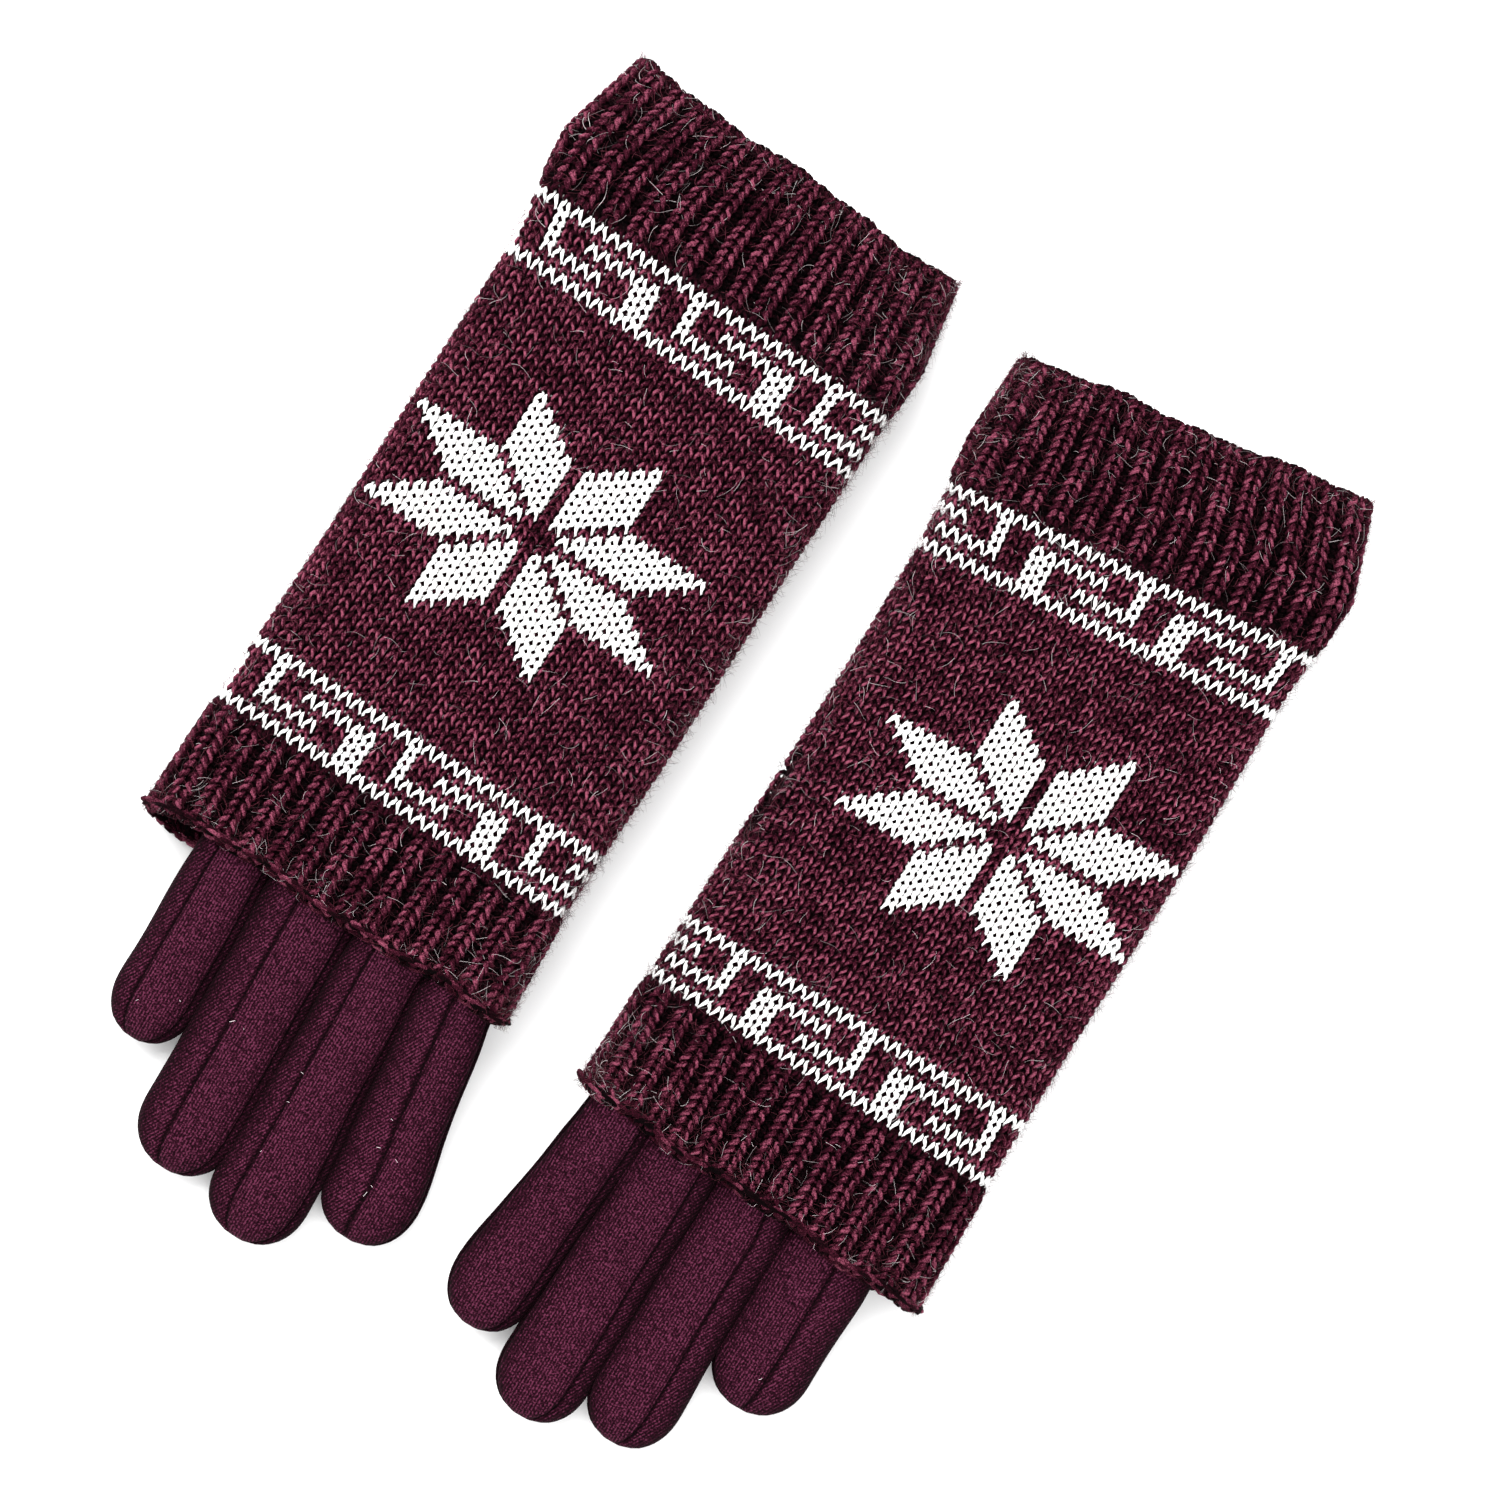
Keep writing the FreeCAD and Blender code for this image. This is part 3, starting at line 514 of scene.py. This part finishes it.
        # Painted shade: ring points that lie deeper in the fabric get a darker colour.
        painted_depth_shade = np.clip((rings[..., 2] / reach + 1) / 2, 0, 1)
        own = self.random.uniform(0.2, 0.8, len(rings))[:, None, None]
        return self.place(rings), PAINTED_SHADE_SHARE * painted_depth_shade + (1 - PAINTED_SHADE_SHARE) * own

    def place(self, rings):
        """Points laid out flat, in millimetres round and along the sleeve, moved onto it."""
        return self.to_row(self.sleeve_point(rings[..., 0] / PITCH, rings[..., 1], rings[..., 2]))

    def knit(self, piece, colour, chosen, wale, place, height, front=1.0, band=None):
        """Makes one piece of the chosen stitches."""
        radius = YARN_RADIUS if band is None else RIB_RADIUS
        if colour == "white_yarn":
            radius = WHITE_RADIUS["star" if piece == "star_pattern" else "band"]
        wale, place = wale[chosen], place[chosen]
        front = np.broadcast_to(front, chosen.shape)[chosen]
        rings, shades = self.loops(wale, place, height, front, band, radius)
        return self.finish(tubes(self.label(piece), rings, colour, shades), "sleeve")

    def finish(self, made, body):
        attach(made, self.label(body))
        return made

    def stitch_grid(self, low, high, courses):
        """Stitches of a zone: column, course counted from the wrist, and place of each."""
        height = (self.edges[high] - self.edges[low]) / courses
        column, course = np.meshgrid(np.arange(WALES) - WALES // 2, np.arange(courses), indexing="ij")
        column, course = column.ravel(), course.ravel()
        return column.astype(float), course, self.edges[high] - (course + 0.5) * height, height

    def make_rib(self, piece, low, high, courses, band):
        """One knit and one purl column in turn; the course beside the band is all knit."""
        column, course, place, height = self.stitch_grid(low, high, courses)
        beside_band = np.abs(place - self.edges[band]) < height
        front = np.where((column % 2 == 0) | beside_band, 1.0, -1.0)
        back = np.abs(column) < WALES / 4
        for layer, inside in (("back", back), ("palm", ~back)):
            made = self.knit(f"{piece}_{layer}", "burgundy_yarn", inside, column, place, height,
                             front, self.edges[band])
        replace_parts(made, self.label(piece))

    def make_band(self, piece, low, high):
        column, course, place, height = self.stitch_grid(low, high, COURSES[piece])
        row, key = course + 1, column % 11
        white = (row == 1) | (row == 7) | ((key == 0) & (row <= 5)) | ((row == 5) & (key <= 4))
        white |= ((row == 3) & (key >= 3) & (key <= 6)) | (((key == 7) | (key == 8)) & (row >= 3))
        made = self.knit(f"{piece}_ground", "burgundy_yarn", ~white, column, place, height)
        self.knit(f"{piece}_pattern", "white_yarn", white, column, place, height)
        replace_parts(made, self.label(piece))

    def star(self, column, course):
        """Eight leaf-shaped petals round one burgundy column and course."""
        up, across = np.abs(course - STAR_COURSE), np.abs(column - STAR_COLUMN)
        tall = (across >= 1) & (across <= 5) & (up >= across + 1) & (up <= across + 7)
        wide = (up >= 1) & (up <= 5) & (across >= up + 1) & (across <= up + 7)
        return tall | wide

    def thumb_opening(self):
        edging = self.node_points("thumb_edge")
        middle = (edging.max(axis=0) + edging.min(axis=0)) / 2
        return middle, np.ptp(edging, axis=0) / 2

    def make_body(self):
        courses = COURSES["sleeve_body"]
        column, course, place, height = self.stitch_grid("body_bottom", "body_top", courses)
        where = self.sleeve_point(column, place, np.zeros_like(place))
        middle, half = self.thumb_opening()
        x = (where[:, 0] - middle[0]) / half[0]
        y = np.maximum(np.abs(where[:, 1] - middle[1]) - (half[1] - half[0]), 0) / half[0]
        back = np.abs(column) < WALES / 4
        opening = ~back & (x ** 2 + y ** 2 < 1) & (np.abs(x) < 1)
        white = self.star(column, course)
        upper = course < courses / 2
        ground = ~white & ~opening
        zones = {"back_wrist_side": back & upper, "back_hand_side": back & ~upper,
                 "palm_wrist_side": ~back & upper, "palm_hand_side": ~back & ~upper}
        for zone, inside in zones.items():
            made = self.knit(f"sleeve_{zone}", "burgundy_yarn", inside & ground, column, place, height)
        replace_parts(made, self.label("sleeve_body"))
        flake = self.knit("star_pattern", "white_yarn", white, column, place, height)
        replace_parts(flake, self.label("snowflake"))

    def edge_strand(self, place, out, lag, swing):
        """One strand of a twisted cord that runs round an edge."""
        steps = WALES * 8
        t = np.linspace(0, WALES, steps + 1)
        phase = 2 * math.pi * t + lag
        x = t * PITCH
        y = place + swing * np.cos(phase)
        z = out + swing * np.sin(phase)
        return np.stack([x, y, z], axis=-1)[None]

    def make_edges(self):
        """The cast-on cord at the wrist and the chain that binds off the rib over the knuckles."""
        for edge, inward in (("wrist_edge", -0.3), ("hand_edge", 0.2)):
            place = self.edges[edge] + inward
            paths = np.concatenate([self.edge_strand(place, 0.1, lag, 0.7) for lag in (0.0, math.pi)])
            plies = twisted(paths, np.full(paths.shape[:2], CORD_RADIUS), WALES * PLY_TURNS / 3)
            rings = tube_rings(*plies, PLY_SIDES)
            shades = np.linspace(0.5, 0.75, len(rings))
            made = tubes(self.label(f"{edge}_cord"), self.place(rings), "burgundy_yarn", shades)
            self.finish(made, "sleeve")
        t = np.linspace(-math.pi, math.pi, 13)[None, :]
        link = (np.arange(WALES) + 0.5)[:, None]
        x = (link - 0.78 * np.cos(t)) * PITCH
        y = self.edges["hand_edge"] - 1.0 + 1.1 * np.sin(t) * np.cos(t / 2) + 0 * x
        z = 0.7 + 1.4 * np.sin(t) + 0.25 * np.sin(1.9 * link) + 0 * x
        path = np.stack([x, y, z], axis=-1)
        link_up = (0.0, 1.0, 0.0)
        plies = twisted(path, np.full(path.shape[:2], CHAIN_RADIUS), PLY_TURNS, link_up)
        rings = tube_rings(*plies, PLY_SIDES, link_up)
        shades = 0.45 + 0.4 * self.random.random(len(rings))
        made = tubes(self.label("hand_edge_chain"), self.place(rings), "burgundy_yarn", shades)
        self.finish(made, "sleeve")

    def make_shadow_lining(self):
        """The fabric's inside, a real layer coloured near black as painted shade, which shows between the
        stitches and in the mouths.
        """
        middle, half = self.thumb_opening()
        columns, rows = WALES * 2, 200
        wale = np.arange(columns) / 2 - WALES / 2
        place = np.linspace(self.edges["hand_edge"] + 0.1, self.edges["wrist_edge"] - 0.1, rows)
        wale, place = np.meshgrid(wale, place)
        into_rib = np.maximum(self.edges["hand_band"] - place, place - self.edges["wrist_band"])
        rise = np.clip(into_rib / (RIB_START * RIB_COURSE), 0, 1)
        out = -0.55 + rise * (RIDGE_OUT * np.cos(math.pi * wale) - 0.25)
        points = self.sleeve_point(wale, place, out)
        faces = strip_faces(rows, columns, closed=True)
        centre = points.reshape(-1, 3)[faces].mean(axis=1)
        x = (centre[:, 0] - middle[0]) / (half[0] - 1)
        y = np.maximum(np.abs(centre[:, 1] - middle[1]) - (half[1] - half[0]), 0) / (half[0] - 1)
        lower = centre[:, 2] < np.interp(centre[:, 1], self.stations["place"], self.stations["middle_z"])
        faces = faces[~(lower & (x ** 2 + y ** 2 < 1))]
        used = np.unique(faces)
        again = np.zeros(rows * columns, int)
        again[used] = np.arange(len(used))
        points = self.to_row(points.reshape(-1, 3)[used])
        shade = np.full(len(used), 0.5)
        made = smooth_mesh(self.label("sleeve_inside"), points, again[faces], "shadow_lining", shade)
        self.finish(made, "sleeve")

    def make_thumb_edge(self):
        """A bound cord round the thumb opening, in the palm side of the sleeve."""
        edging = self.node_points("thumb_edge")
        middle, half = self.thumb_opening()
        turn = np.linspace(0, 2 * math.pi, 121)
        long = half[1] - half[0]
        radius = half[0] - 1.0
        x = middle[0] + radius * np.cos(turn)
        y = middle[1] + radius * np.sin(turn) + np.sign(np.sin(turn)) * long * np.abs(np.sin(turn)) ** 0.4
        slope = math.tan(float(self.stations["roll"][2]))
        z = edging[:, 2].mean() + slope * (x - middle[0])
        core = np.stack([x, y, z], axis=-1)
        outward = np.stack([np.cos(turn), np.sin(turn), 0 * turn], axis=-1)
        lift = np.array([0.0, 0.0, 1.0])
        twists, swing, strand_radius = 26, 0.45, 0.55
        strands = []
        for lag in (0.0, math.pi):
            phase = (twists * turn + lag)[:, None]
            strands.append(core + swing * (np.cos(phase) * outward + np.sin(phase) * lift))
        paths = np.stack(strands)
        rings = self.to_row(tube_rings(paths, np.full(paths.shape[:2], strand_radius), PLY_SIDES))
        made = tubes(self.label("thumb_edge_cord"), rings, "burgundy_yarn", np.array([0.5, 0.7]))
        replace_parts(self.finish(made, "sleeve"), self.label("thumb_edge"))

    def make_fibres(self, piece, kind, material, first):
        """Loose fibres that stand off half of the knit, from a first share of the way round it.

        They are closer together towards the sides and ends, where they show as a halo.
        """
        random, count, points = self.random, kind["count"], kind["points"]
        around, along = (1 - np.cos(math.pi * random.random((2, count)))) / 2
        sleeve_length = self.edges["wrist_edge"] - self.edges["hand_edge"]
        start = np.stack([(first + 0.5 * around) * WALES * PITCH,
                          self.edges["hand_edge"] + along * sleeve_length], axis=-1)
        length = random.uniform(*kind["length"], count)
        heading = random.uniform(0, 2 * math.pi, count)
        curl = random.normal(0, kind["curl"], count)
        share = np.linspace(0, 1, points)[None, :]
        step = length[:, None] / (points - 1)
        bearing = heading[:, None] + curl[:, None] * length[:, None] * share * 0.5
        bearing = bearing + 0.2 * np.sin(5 * share + heading[:, None] * 3)
        x = start[:, 0:1] + np.cumsum(np.cos(bearing) * step, axis=1)
        y = start[:, 1:2] + np.cumsum(np.sin(bearing) * step, axis=1)
        rise = random.uniform(*kind["rise"], count)[:, None]
        z = FIBRE_ROOT + rise * (share if material == "halo" else np.sin(math.pi * share) + 0.3)
        y = np.clip(y, self.edges["hand_edge"] - 2.5, self.edges["wrist_edge"] + 2.5)
        path = np.stack([x, y, z + 0 * x], axis=-1)
        radius = kind["radius"] * (1.15 - 0.8 * share) * np.ones((count, 1))
        rings = tube_rings(path, radius, 3)
        shades = random.random(count) ** 2
        made = tubes(self.label(f"{piece}_fibres"), self.place(rings), material, shades)
        self.finish(made, "sleeve")

    def make_sleeve(self):
        self.make_rib("wrist_rib", "wrist_band", "wrist_edge", COURSES["wrist_rib"], "wrist_band")
        self.make_band("wrist_band", "body_top", "wrist_band")
        self.make_body()
        self.make_band("hand_band", "hand_band", "body_bottom")
        rib_length = self.edges["hand_band"] - self.edges["hand_edge"]
        self.make_rib("hand_rib", "hand_edge", "hand_band", round(rib_length / RIB_COURSE), "hand_band")
        self.make_edges()
        self.make_shadow_lining()
        self.make_thumb_edge()
        for layer, first in (("back", -0.25), ("palm", 0.25)):
            self.make_fibres(f"{layer}_halo", HALO, "halo", first)
            self.make_fibres(f"{layer}_stray", STRAYS, "strays", first)

    # The jersey glove

    def skin(self, piece, rows, material, closed=True, tip=False, heel=False, shade=None):
        """A surface through rows of points; tip and heel close its last and first row."""
        count, columns, _ = rows.shape
        shade = np.full(count * columns, PLAIN_SHADE) if shade is None else shade.ravel()
        points = rows.reshape(-1, 3)
        faces = [strip_faces(count, columns, closed)]
        ring = np.arange(columns if closed else columns - 1)
        after = (ring + 1) % columns
        for wanted, first, last in ((tip, count - 1, True), (heel, 0, False)):
            if wanted:
                apex = np.full(len(ring), len(points))
                middle = rows[first].mean(axis=0)
                points = np.vstack([points, middle])
                shade = np.append(shade, PLAIN_SHADE)
                a, b = first * columns + ring, first * columns + after
                faces.append(np.stack([a, b, apex] if last else [b, a, apex], axis=-1))
        return smooth_mesh(self.label(piece), self.to_row(points), faces, material, shade)

    def finger_cut(self, finger, place):
        """A finger's section, with its own half of the strips between it and its neighbours."""
        pieces = [f"{finger}_finger_base", f"{finger}_fingertip", f"{finger}_tip_fourchette"]
        found = [self.slice(pieces, place)]
        own_middle = self.node_points(pieces[0])[:, 0].mean()
        for web in WEBS:
            if finger in web.split("_"):
                strips = self.node_points(f"fourchette_{web}")[:, 0]
                middle = (strips.max() + strips.min()) / 2
                cut = self.slice([f"fourchette_{web}"], place)
                found.append(cut[(cut[:, 0] - middle) * (own_middle - middle) > 0])
        return np.concatenate(found)

    def finger_profile(self, finger):
        """Outline of a finger at places from inside the cuff to its tip."""
        base, tip = f"{finger}_finger_base", f"{finger}_fingertip"
        knuckle = self.to_own(np.array(joint(self.label(f"{finger}_bend"))["pos_m"]))[1]
        start, end = self.node_points(base)[:, 1].max(), self.node_points(tip)[:, 1].min()
        near = end + np.array([0.15, 0.6, 1.3, 2.2, 3.3, 4.6, 6.0, 7.6, 9.4, 11.4, 13.6])
        middle = np.linspace(near[-1], knuckle - BEND_REACH, 5)[1:]
        cuff = np.linspace(knuckle + BEND_REACH, start - 0.2, 4)
        places = np.concatenate([near, middle, cuff])
        places = np.unique(places[(places > end) & (places < start)])
        found = []
        for place in places:
            cut = self.finger_cut(finger, place)
            found.append([cut[:, 0].min(), cut[:, 0].max(), cut[:, 2].min(), cut[:, 2].max()])
        return places, np.array(found), knuckle, start, end

    def finger_rows(self, start, end):
        """Places of the rows of points along a finger; the last closes its tip."""
        depth = np.linspace(0, 1, 26) ** 1.8 * TIP_LENGTH
        straight = np.arange(start + ROOT, end + TIP_LENGTH + 0.5, -ROW_STEP)
        rows = np.concatenate([straight, end + TIP_LENGTH - depth[1:]])
        return np.append(np.maximum(rows, end + TIP_GAP), end + TIP_GAP - 0.02)

    def make_finger(self, finger):
        """A finger's back, palm and two side strips, each turned inwards where it is sewn."""
        places, outline, knuckle, start, end = self.finger_profile(finger)
        rows = self.finger_rows(start, end)
        closed = (np.arange(len(rows)) < len(rows) - 1)[:, None]
        low_x, high_x, low_z, high_z = (np.interp(rows, places, outline[:, k]) for k in range(4))
        middle_x, middle_z = (low_x + high_x) / 2, (low_z + high_z) / 2
        half_x, half_z = (high_x - low_x) / 2, (high_z - low_z) / 2
        seams = sorted(self.side * f for f in SEAMS[self.name][finger])
        turn = [math.acos(math.copysign(abs(f) ** (FULLNESS / 2), f)) for f in seams]
        parts = {
            "back": (turn[1], turn[0]), "side_a": (turn[0], 2 * math.pi - turn[0]),
            "palm": (2 * math.pi - turn[0], 2 * math.pi - turn[1]), "side_b": (-turn[1], turn[1]),
        }
        for part, (first, last) in parts.items():
            ease = (1 - np.cos(np.linspace(0, math.pi, 19))) / 2
            angle = first + (last - first) * ease
            gap = np.minimum(np.abs(angle - first), np.abs(last - angle))[None, :] * half_x[:, None]
            near_seam = np.exp(-(gap / SEAM_WIDTH) ** 2)
            pucker = 1 + 0.25 * np.sin(rows * 2.1)[:, None]
            swell = CROWN[part.split("_")[0]] * np.sin(math.pi * ease)[None, :] ** 0.7
            fold = 0.16 * np.sin(rows[:, None] * 0.21 + 2 * angle[None, :] + len(finger))
            fold = fold * np.clip((rows[:, None] - end) / 12, 0, 1)
            shrink = np.clip((half_x - 1.0) / 4, 0, 1)[:, None]
            inset = (SEAM_DEPTH * near_seam * pucker - swell) * shrink - fold
            c, s = np.cos(angle)[None, :], np.sin(angle)[None, :]
            plump = PLUMP * shrink
            x = np.sign(c) * np.abs(c) ** (2 / FULLNESS) * (half_x[:, None] + plump) - c * inset
            z = np.sign(s) * np.abs(s) ** (2 / FULLNESS) * (half_z[:, None] + 0.15) - s * inset
            z = np.maximum(middle_z[:, None] + z * closed, TIP_GAP)
            points = np.stack([middle_x[:, None] + x * closed, rows[:, None] + 0 * x, z], axis=-1)
            # Painted shade: a dark line along each seam's groove, fading where the finger narrows to its
            # tip.
            seam_groove_shade = np.exp(-(gap / (0.5 * SEAM_WIDTH)) ** 2)
            shade = PLAIN_SHADE * (1 - SEAM_PAINTED_SHADE * seam_groove_shade * shrink)
            # Painted shade: the fingers' sides are darker, where less light falls.
            shade = shade - SIDE_PAINTED_SHADE * (1 - np.abs(s)) ** 1.3 * shrink
            material = "strip_jersey" if part.startswith("side") else "jersey"
            made = self.skin(f"{finger}_{part}", points, material, closed=False, shade=shade)
            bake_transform(made)
            little_side = "side_a" if self.side > 0 else "side_b"
            if part == "back":
                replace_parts(made, self.label(f"{finger}_finger_base"), self.label(f"{finger}_fingertip"))
            elif part == little_side:
                webs = [self.label(f"fourchette_{web}") for web in WEBS if web.startswith(finger)]
                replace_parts(made, self.label(f"{finger}_tip_fourchette"), *webs)

    def oval(self, section, inset, columns=96, wrinkle=0.0, place=0.0):
        """A flat tube's outline, drawn in from the measured one."""
        angle = np.arange(columns) * 2 * math.pi / columns
        reach = section["half_width"] - section["thickness"] / 2
        curve = section["thickness"] / 2 - inset + wrinkle * np.sin(6 * angle + place * 0.11)
        across = np.clip(np.cos(angle) * 1.6, -1, 1) * reach + curve * np.cos(angle)
        up = curve * np.sin(angle)
        x = section["middle_x"] + np.cos(section["roll"]) * across - np.sin(section["roll"]) * up
        z = section["middle_z"] + np.sin(section["roll"]) * across + np.cos(section["roll"]) * up
        return np.stack([x, np.full(columns, place), z], axis=-1)

    def make_hand(self):
        """The hand of the glove: out along its outer face, round the hem, and back inside."""
        body = self.node_points("back_panel")
        hem = self.node_points("wrist_hem")
        first, last = body[:, 1].min() + 1.0, hem[:, 1].max()
        sections = {}
        places = np.linspace(first, body[:, 1].max() - 1.0, 14)
        for place in places:
            sections[place] = measure_section(self.slice(["back_panel", "palm_panel"], place))
        keys = list(sections[places[0]])

        def at(place):
            near = np.clip(place, places[0], places[-1])
            return {k: np.interp(near, places, [sections[p][k] for p in places]) for k in keys}

        front = [self.oval(at(first), inset, place=first - ahead)
                 for inset, ahead in ((4.6, 2.2), (3.2, 2.1), (1.6, 1.6), (0.5, 0.7))]
        outside = [self.oval(at(p), 0.1, wrinkle=0.12, place=p)
                   for p in np.linspace(first, last - 1.0, 60)]
        inside = [self.oval(at(p), 0.1 + JERSEY_WALL, place=p)
                  for p in np.linspace(last - 1.0, first + 8, 40)]
        turned = [self.oval(at(last), 0.5, place=last - 0.3), self.oval(at(last), 1.1, place=last - 0.3)]
        rows = np.array(front + outside + turned + inside)
        made = self.skin("glove_hand", rows, "jersey", heel=True)
        self.finish(made, "hand")
        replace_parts(made, self.label("back_panel"), self.label("palm_panel"))
        self.make_hem(at, hem[:, 1].min(), last)
        self.make_gusset()

    def make_hem(self, at, first, last):
        """The turned-up hem, a little thicker than the cloth, and its row of stitches."""
        places = np.linspace(first, last, 9)
        swell = np.sin(np.linspace(0, math.pi, 9)) * 0.35
        rows = np.array([self.oval(at(p), -0.15 - s, place=p) for p, s in zip(places, swell)])
        made = self.skin("hem_fold", rows, "jersey")
        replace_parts(self.finish(made, "hand"), self.label("wrist_hem"))
        line = self.oval(at(first + 1.2), -0.35, columns=144, place=first + 1.2)
        start, end = line[0::2], line[1::2]
        share = np.linspace(0.1, 1.5, 5)[None, :, None]
        path = start[:, None, :] + share * (end - start)[:, None, :]
        height = 0.28 * np.sin(np.linspace(0, math.pi, 5))
        path = path + height[None, :, None] * np.array([0.0, 0.5, 0.5])
        rings = tube_rings(path, np.full(path.shape[:2], 0.16), 5, up=(0.0, 1.0, 0.0))
        shades = self.random.random(len(path))
        made = tubes(self.label("hem_stitches"), self.to_row(rings), "thread", shades)
        self.finish(made, "hand")

    def make_gusset(self):
        """The neck of the folded thumb, gathered in small pleats."""
        node = self.node_points("thumb_gusset")
        middle, half = (node.max(axis=0) + node.min(axis=0)) / 2, np.ptp(node, axis=0) / 2
        turn = np.arange(72) * 2 * math.pi / 72
        rows = []
        for share in np.linspace(-1, 1, 10):
            radius = half[0] - 0.3 + 0.25 * np.sin(9 * turn + 2 * share)
            rows.append(np.stack([middle[0] + radius * np.cos(turn), middle[1] + radius * np.sin(turn),
                                  np.full(72, middle[2] + share * half[2])], axis=-1))
        made = self.skin("thumb_neck", np.array(rows), "jersey")
        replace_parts(self.finish(made, "hand"), self.label("thumb_gusset"))

    def make_thumb(self):
        """The empty thumb, folded flat under the palm."""
        node = self.node_points("thumb")
        first, last = node[:, 1].max(), node[:, 1].min()
        places = last + (first - last) * (1 + np.cos(np.linspace(0, math.pi, 60))) / 2
        rows = []
        turn = np.arange(56) * 2 * math.pi / 56
        samples = np.linspace(last + 0.5, first - 0.5, 24)
        cuts = [self.slice(["thumb"], p) for p in samples]
        ends = np.array([[c[:, 0].min(), c[:, 0].max(), c[:, 2].min(), c[:, 2].max()] for c in cuts])
        for place in np.clip(places, last + 0.5, first - 0.5):
            low, high, below, above = (np.interp(place, samples, ends[:, k]) for k in range(4))
            c, s = np.cos(turn), np.sin(turn)
            crease = 0.25 * np.sin(place * 0.35 + 3 * turn)
            x = (low + high) / 2 + np.sign(c) * np.abs(c) ** 0.8 * ((high - low) / 2)
            z = (below + above) / 2 + np.sign(s) * np.abs(s) ** 0.8 * ((above - below) / 2) * 0.97
            z = z + crease * (s > 0) * 0.6
            rows.append(np.stack([x, np.full(56, place), np.maximum(z, 0.1)], axis=-1))
        made = self.skin("thumb_skin", np.array(rows), "jersey", tip=True, heel=True)
        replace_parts(self.finish(made, "thumb"), self.label("thumb"))

    def make_lint(self):
        """Specks of pale lint on the fingers."""
        random = self.random
        share = np.linspace(0, 1, 4)[None, :]
        for finger in FINGERS:
            places, outline, knuckle, _, end = self.finger_profile(finger)
            y = random.uniform(end + 8, knuckle - BEND_REACH, LINT_SPECKS)
            middle = np.interp(y, places, (outline[:, 0] + outline[:, 1]) / 2)
            half = np.interp(y, places, (outline[:, 1] - outline[:, 0]) / 2)
            top = np.interp(y, places, outline[:, 3])
            offset = random.uniform(-0.5, 0.5, len(y))
            x = middle + offset * half
            bearing = random.uniform(0, 6.28, len(y))[:, None]
            size = random.uniform(0.5, 1.6, len(y))[:, None]
            z = (top - 2.2 * offset ** 2)[:, None] + 0.18 + 0.1 * np.sin(3 * share)
            path = np.stack([x[:, None] + size * share * np.cos(bearing),
                             y[:, None] + size * share * np.sin(bearing), z], axis=-1)
            rings = tube_rings(path, np.full(path.shape[:2], 0.055), 3)
            made = tubes(self.label(f"{finger}_lint"), self.to_row(rings), "strays",
                         random.uniform(0.6, 1.0, len(y)))
            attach(made, self.label(finger))

    def make(self):
        self.make_sleeve()
        self.make_hand()
        for finger in FINGERS:
            self.make_finger(finger)
        self.make_thumb()
        self.make_lint()


for glove in (Glove("right", 1), Glove("left", -1)):
    glove.make()


# Floor, light and camera

def make_floor():
    half = 3.0
    material, tree, shader = new_material("pale_floor")
    tint = ramp(tree, noise(tree, 3.0), [(0.0, (0.93, 0.93, 0.93)), (1.0, (0.95, 0.95, 0.95))])
    tree.links.new(tint, shader.inputs["Base Color"])
    shader.inputs["Roughness"].default_value = 0.9
    MATERIALS["floor"] = material
    corners = [(-half, -half, 0), (half, -half, 0), (half, half, 0), (-half, half, 0)]
    floor = smooth_mesh("floor", corners, np.array([[0, 1, 2, 3]]), "floor")
    floor.location = (0, 0, -0.0003)


def make_light():
    world = bpy.data.worlds.new("studio")
    world.use_nodes = True
    bpy.context.scene.world = world
    background = world.node_tree.nodes["Background"]
    background.inputs["Color"].default_value = (1.0, 1.0, 1.0, 1.0)
    background.inputs["Strength"].default_value = 1.35
    for name, where, size, power in (
        ("key", (-0.8, 0.9, 1.4), 1.8, 66.0),
        ("fill", (0.9, -0.4, 1.2), 1.2, 8.0),
    ):
        lamp = bpy.data.lights.new(name, "AREA")
        lamp.size = size
        lamp.energy = power
        holder = bpy.data.objects.new(name, lamp)
        holder.location = where
        holder.rotation_mode = "QUATERNION"
        holder.rotation_quaternion = Vector(where).to_track_quat("Z", "Y")
        bpy.context.scene.collection.objects.link(holder)


def make_camera():
    data = bpy.data.cameras.new("camera")
    data.sensor_width = 36.0
    data.lens = data.sensor_width * VIEW_HEIGHT / VIEW_WIDTH
    data.clip_start, data.clip_end = 0.05, 20.0
    camera = bpy.data.objects.new("camera", data)
    camera.location = (VIEW_MIDDLE[0] * MM, VIEW_MIDDLE[1] * MM, (VIEW_HEIGHT + VIEW_LEVEL) * MM)
    camera.rotation_euler = (0.0, 0.0, VIEW_ROLL)
    bpy.context.scene.collection.objects.link(camera)
    bpy.context.scene.camera = camera
    bpy.context.scene.view_settings.view_transform = "Standard"


make_floor()
make_light()
make_camera()
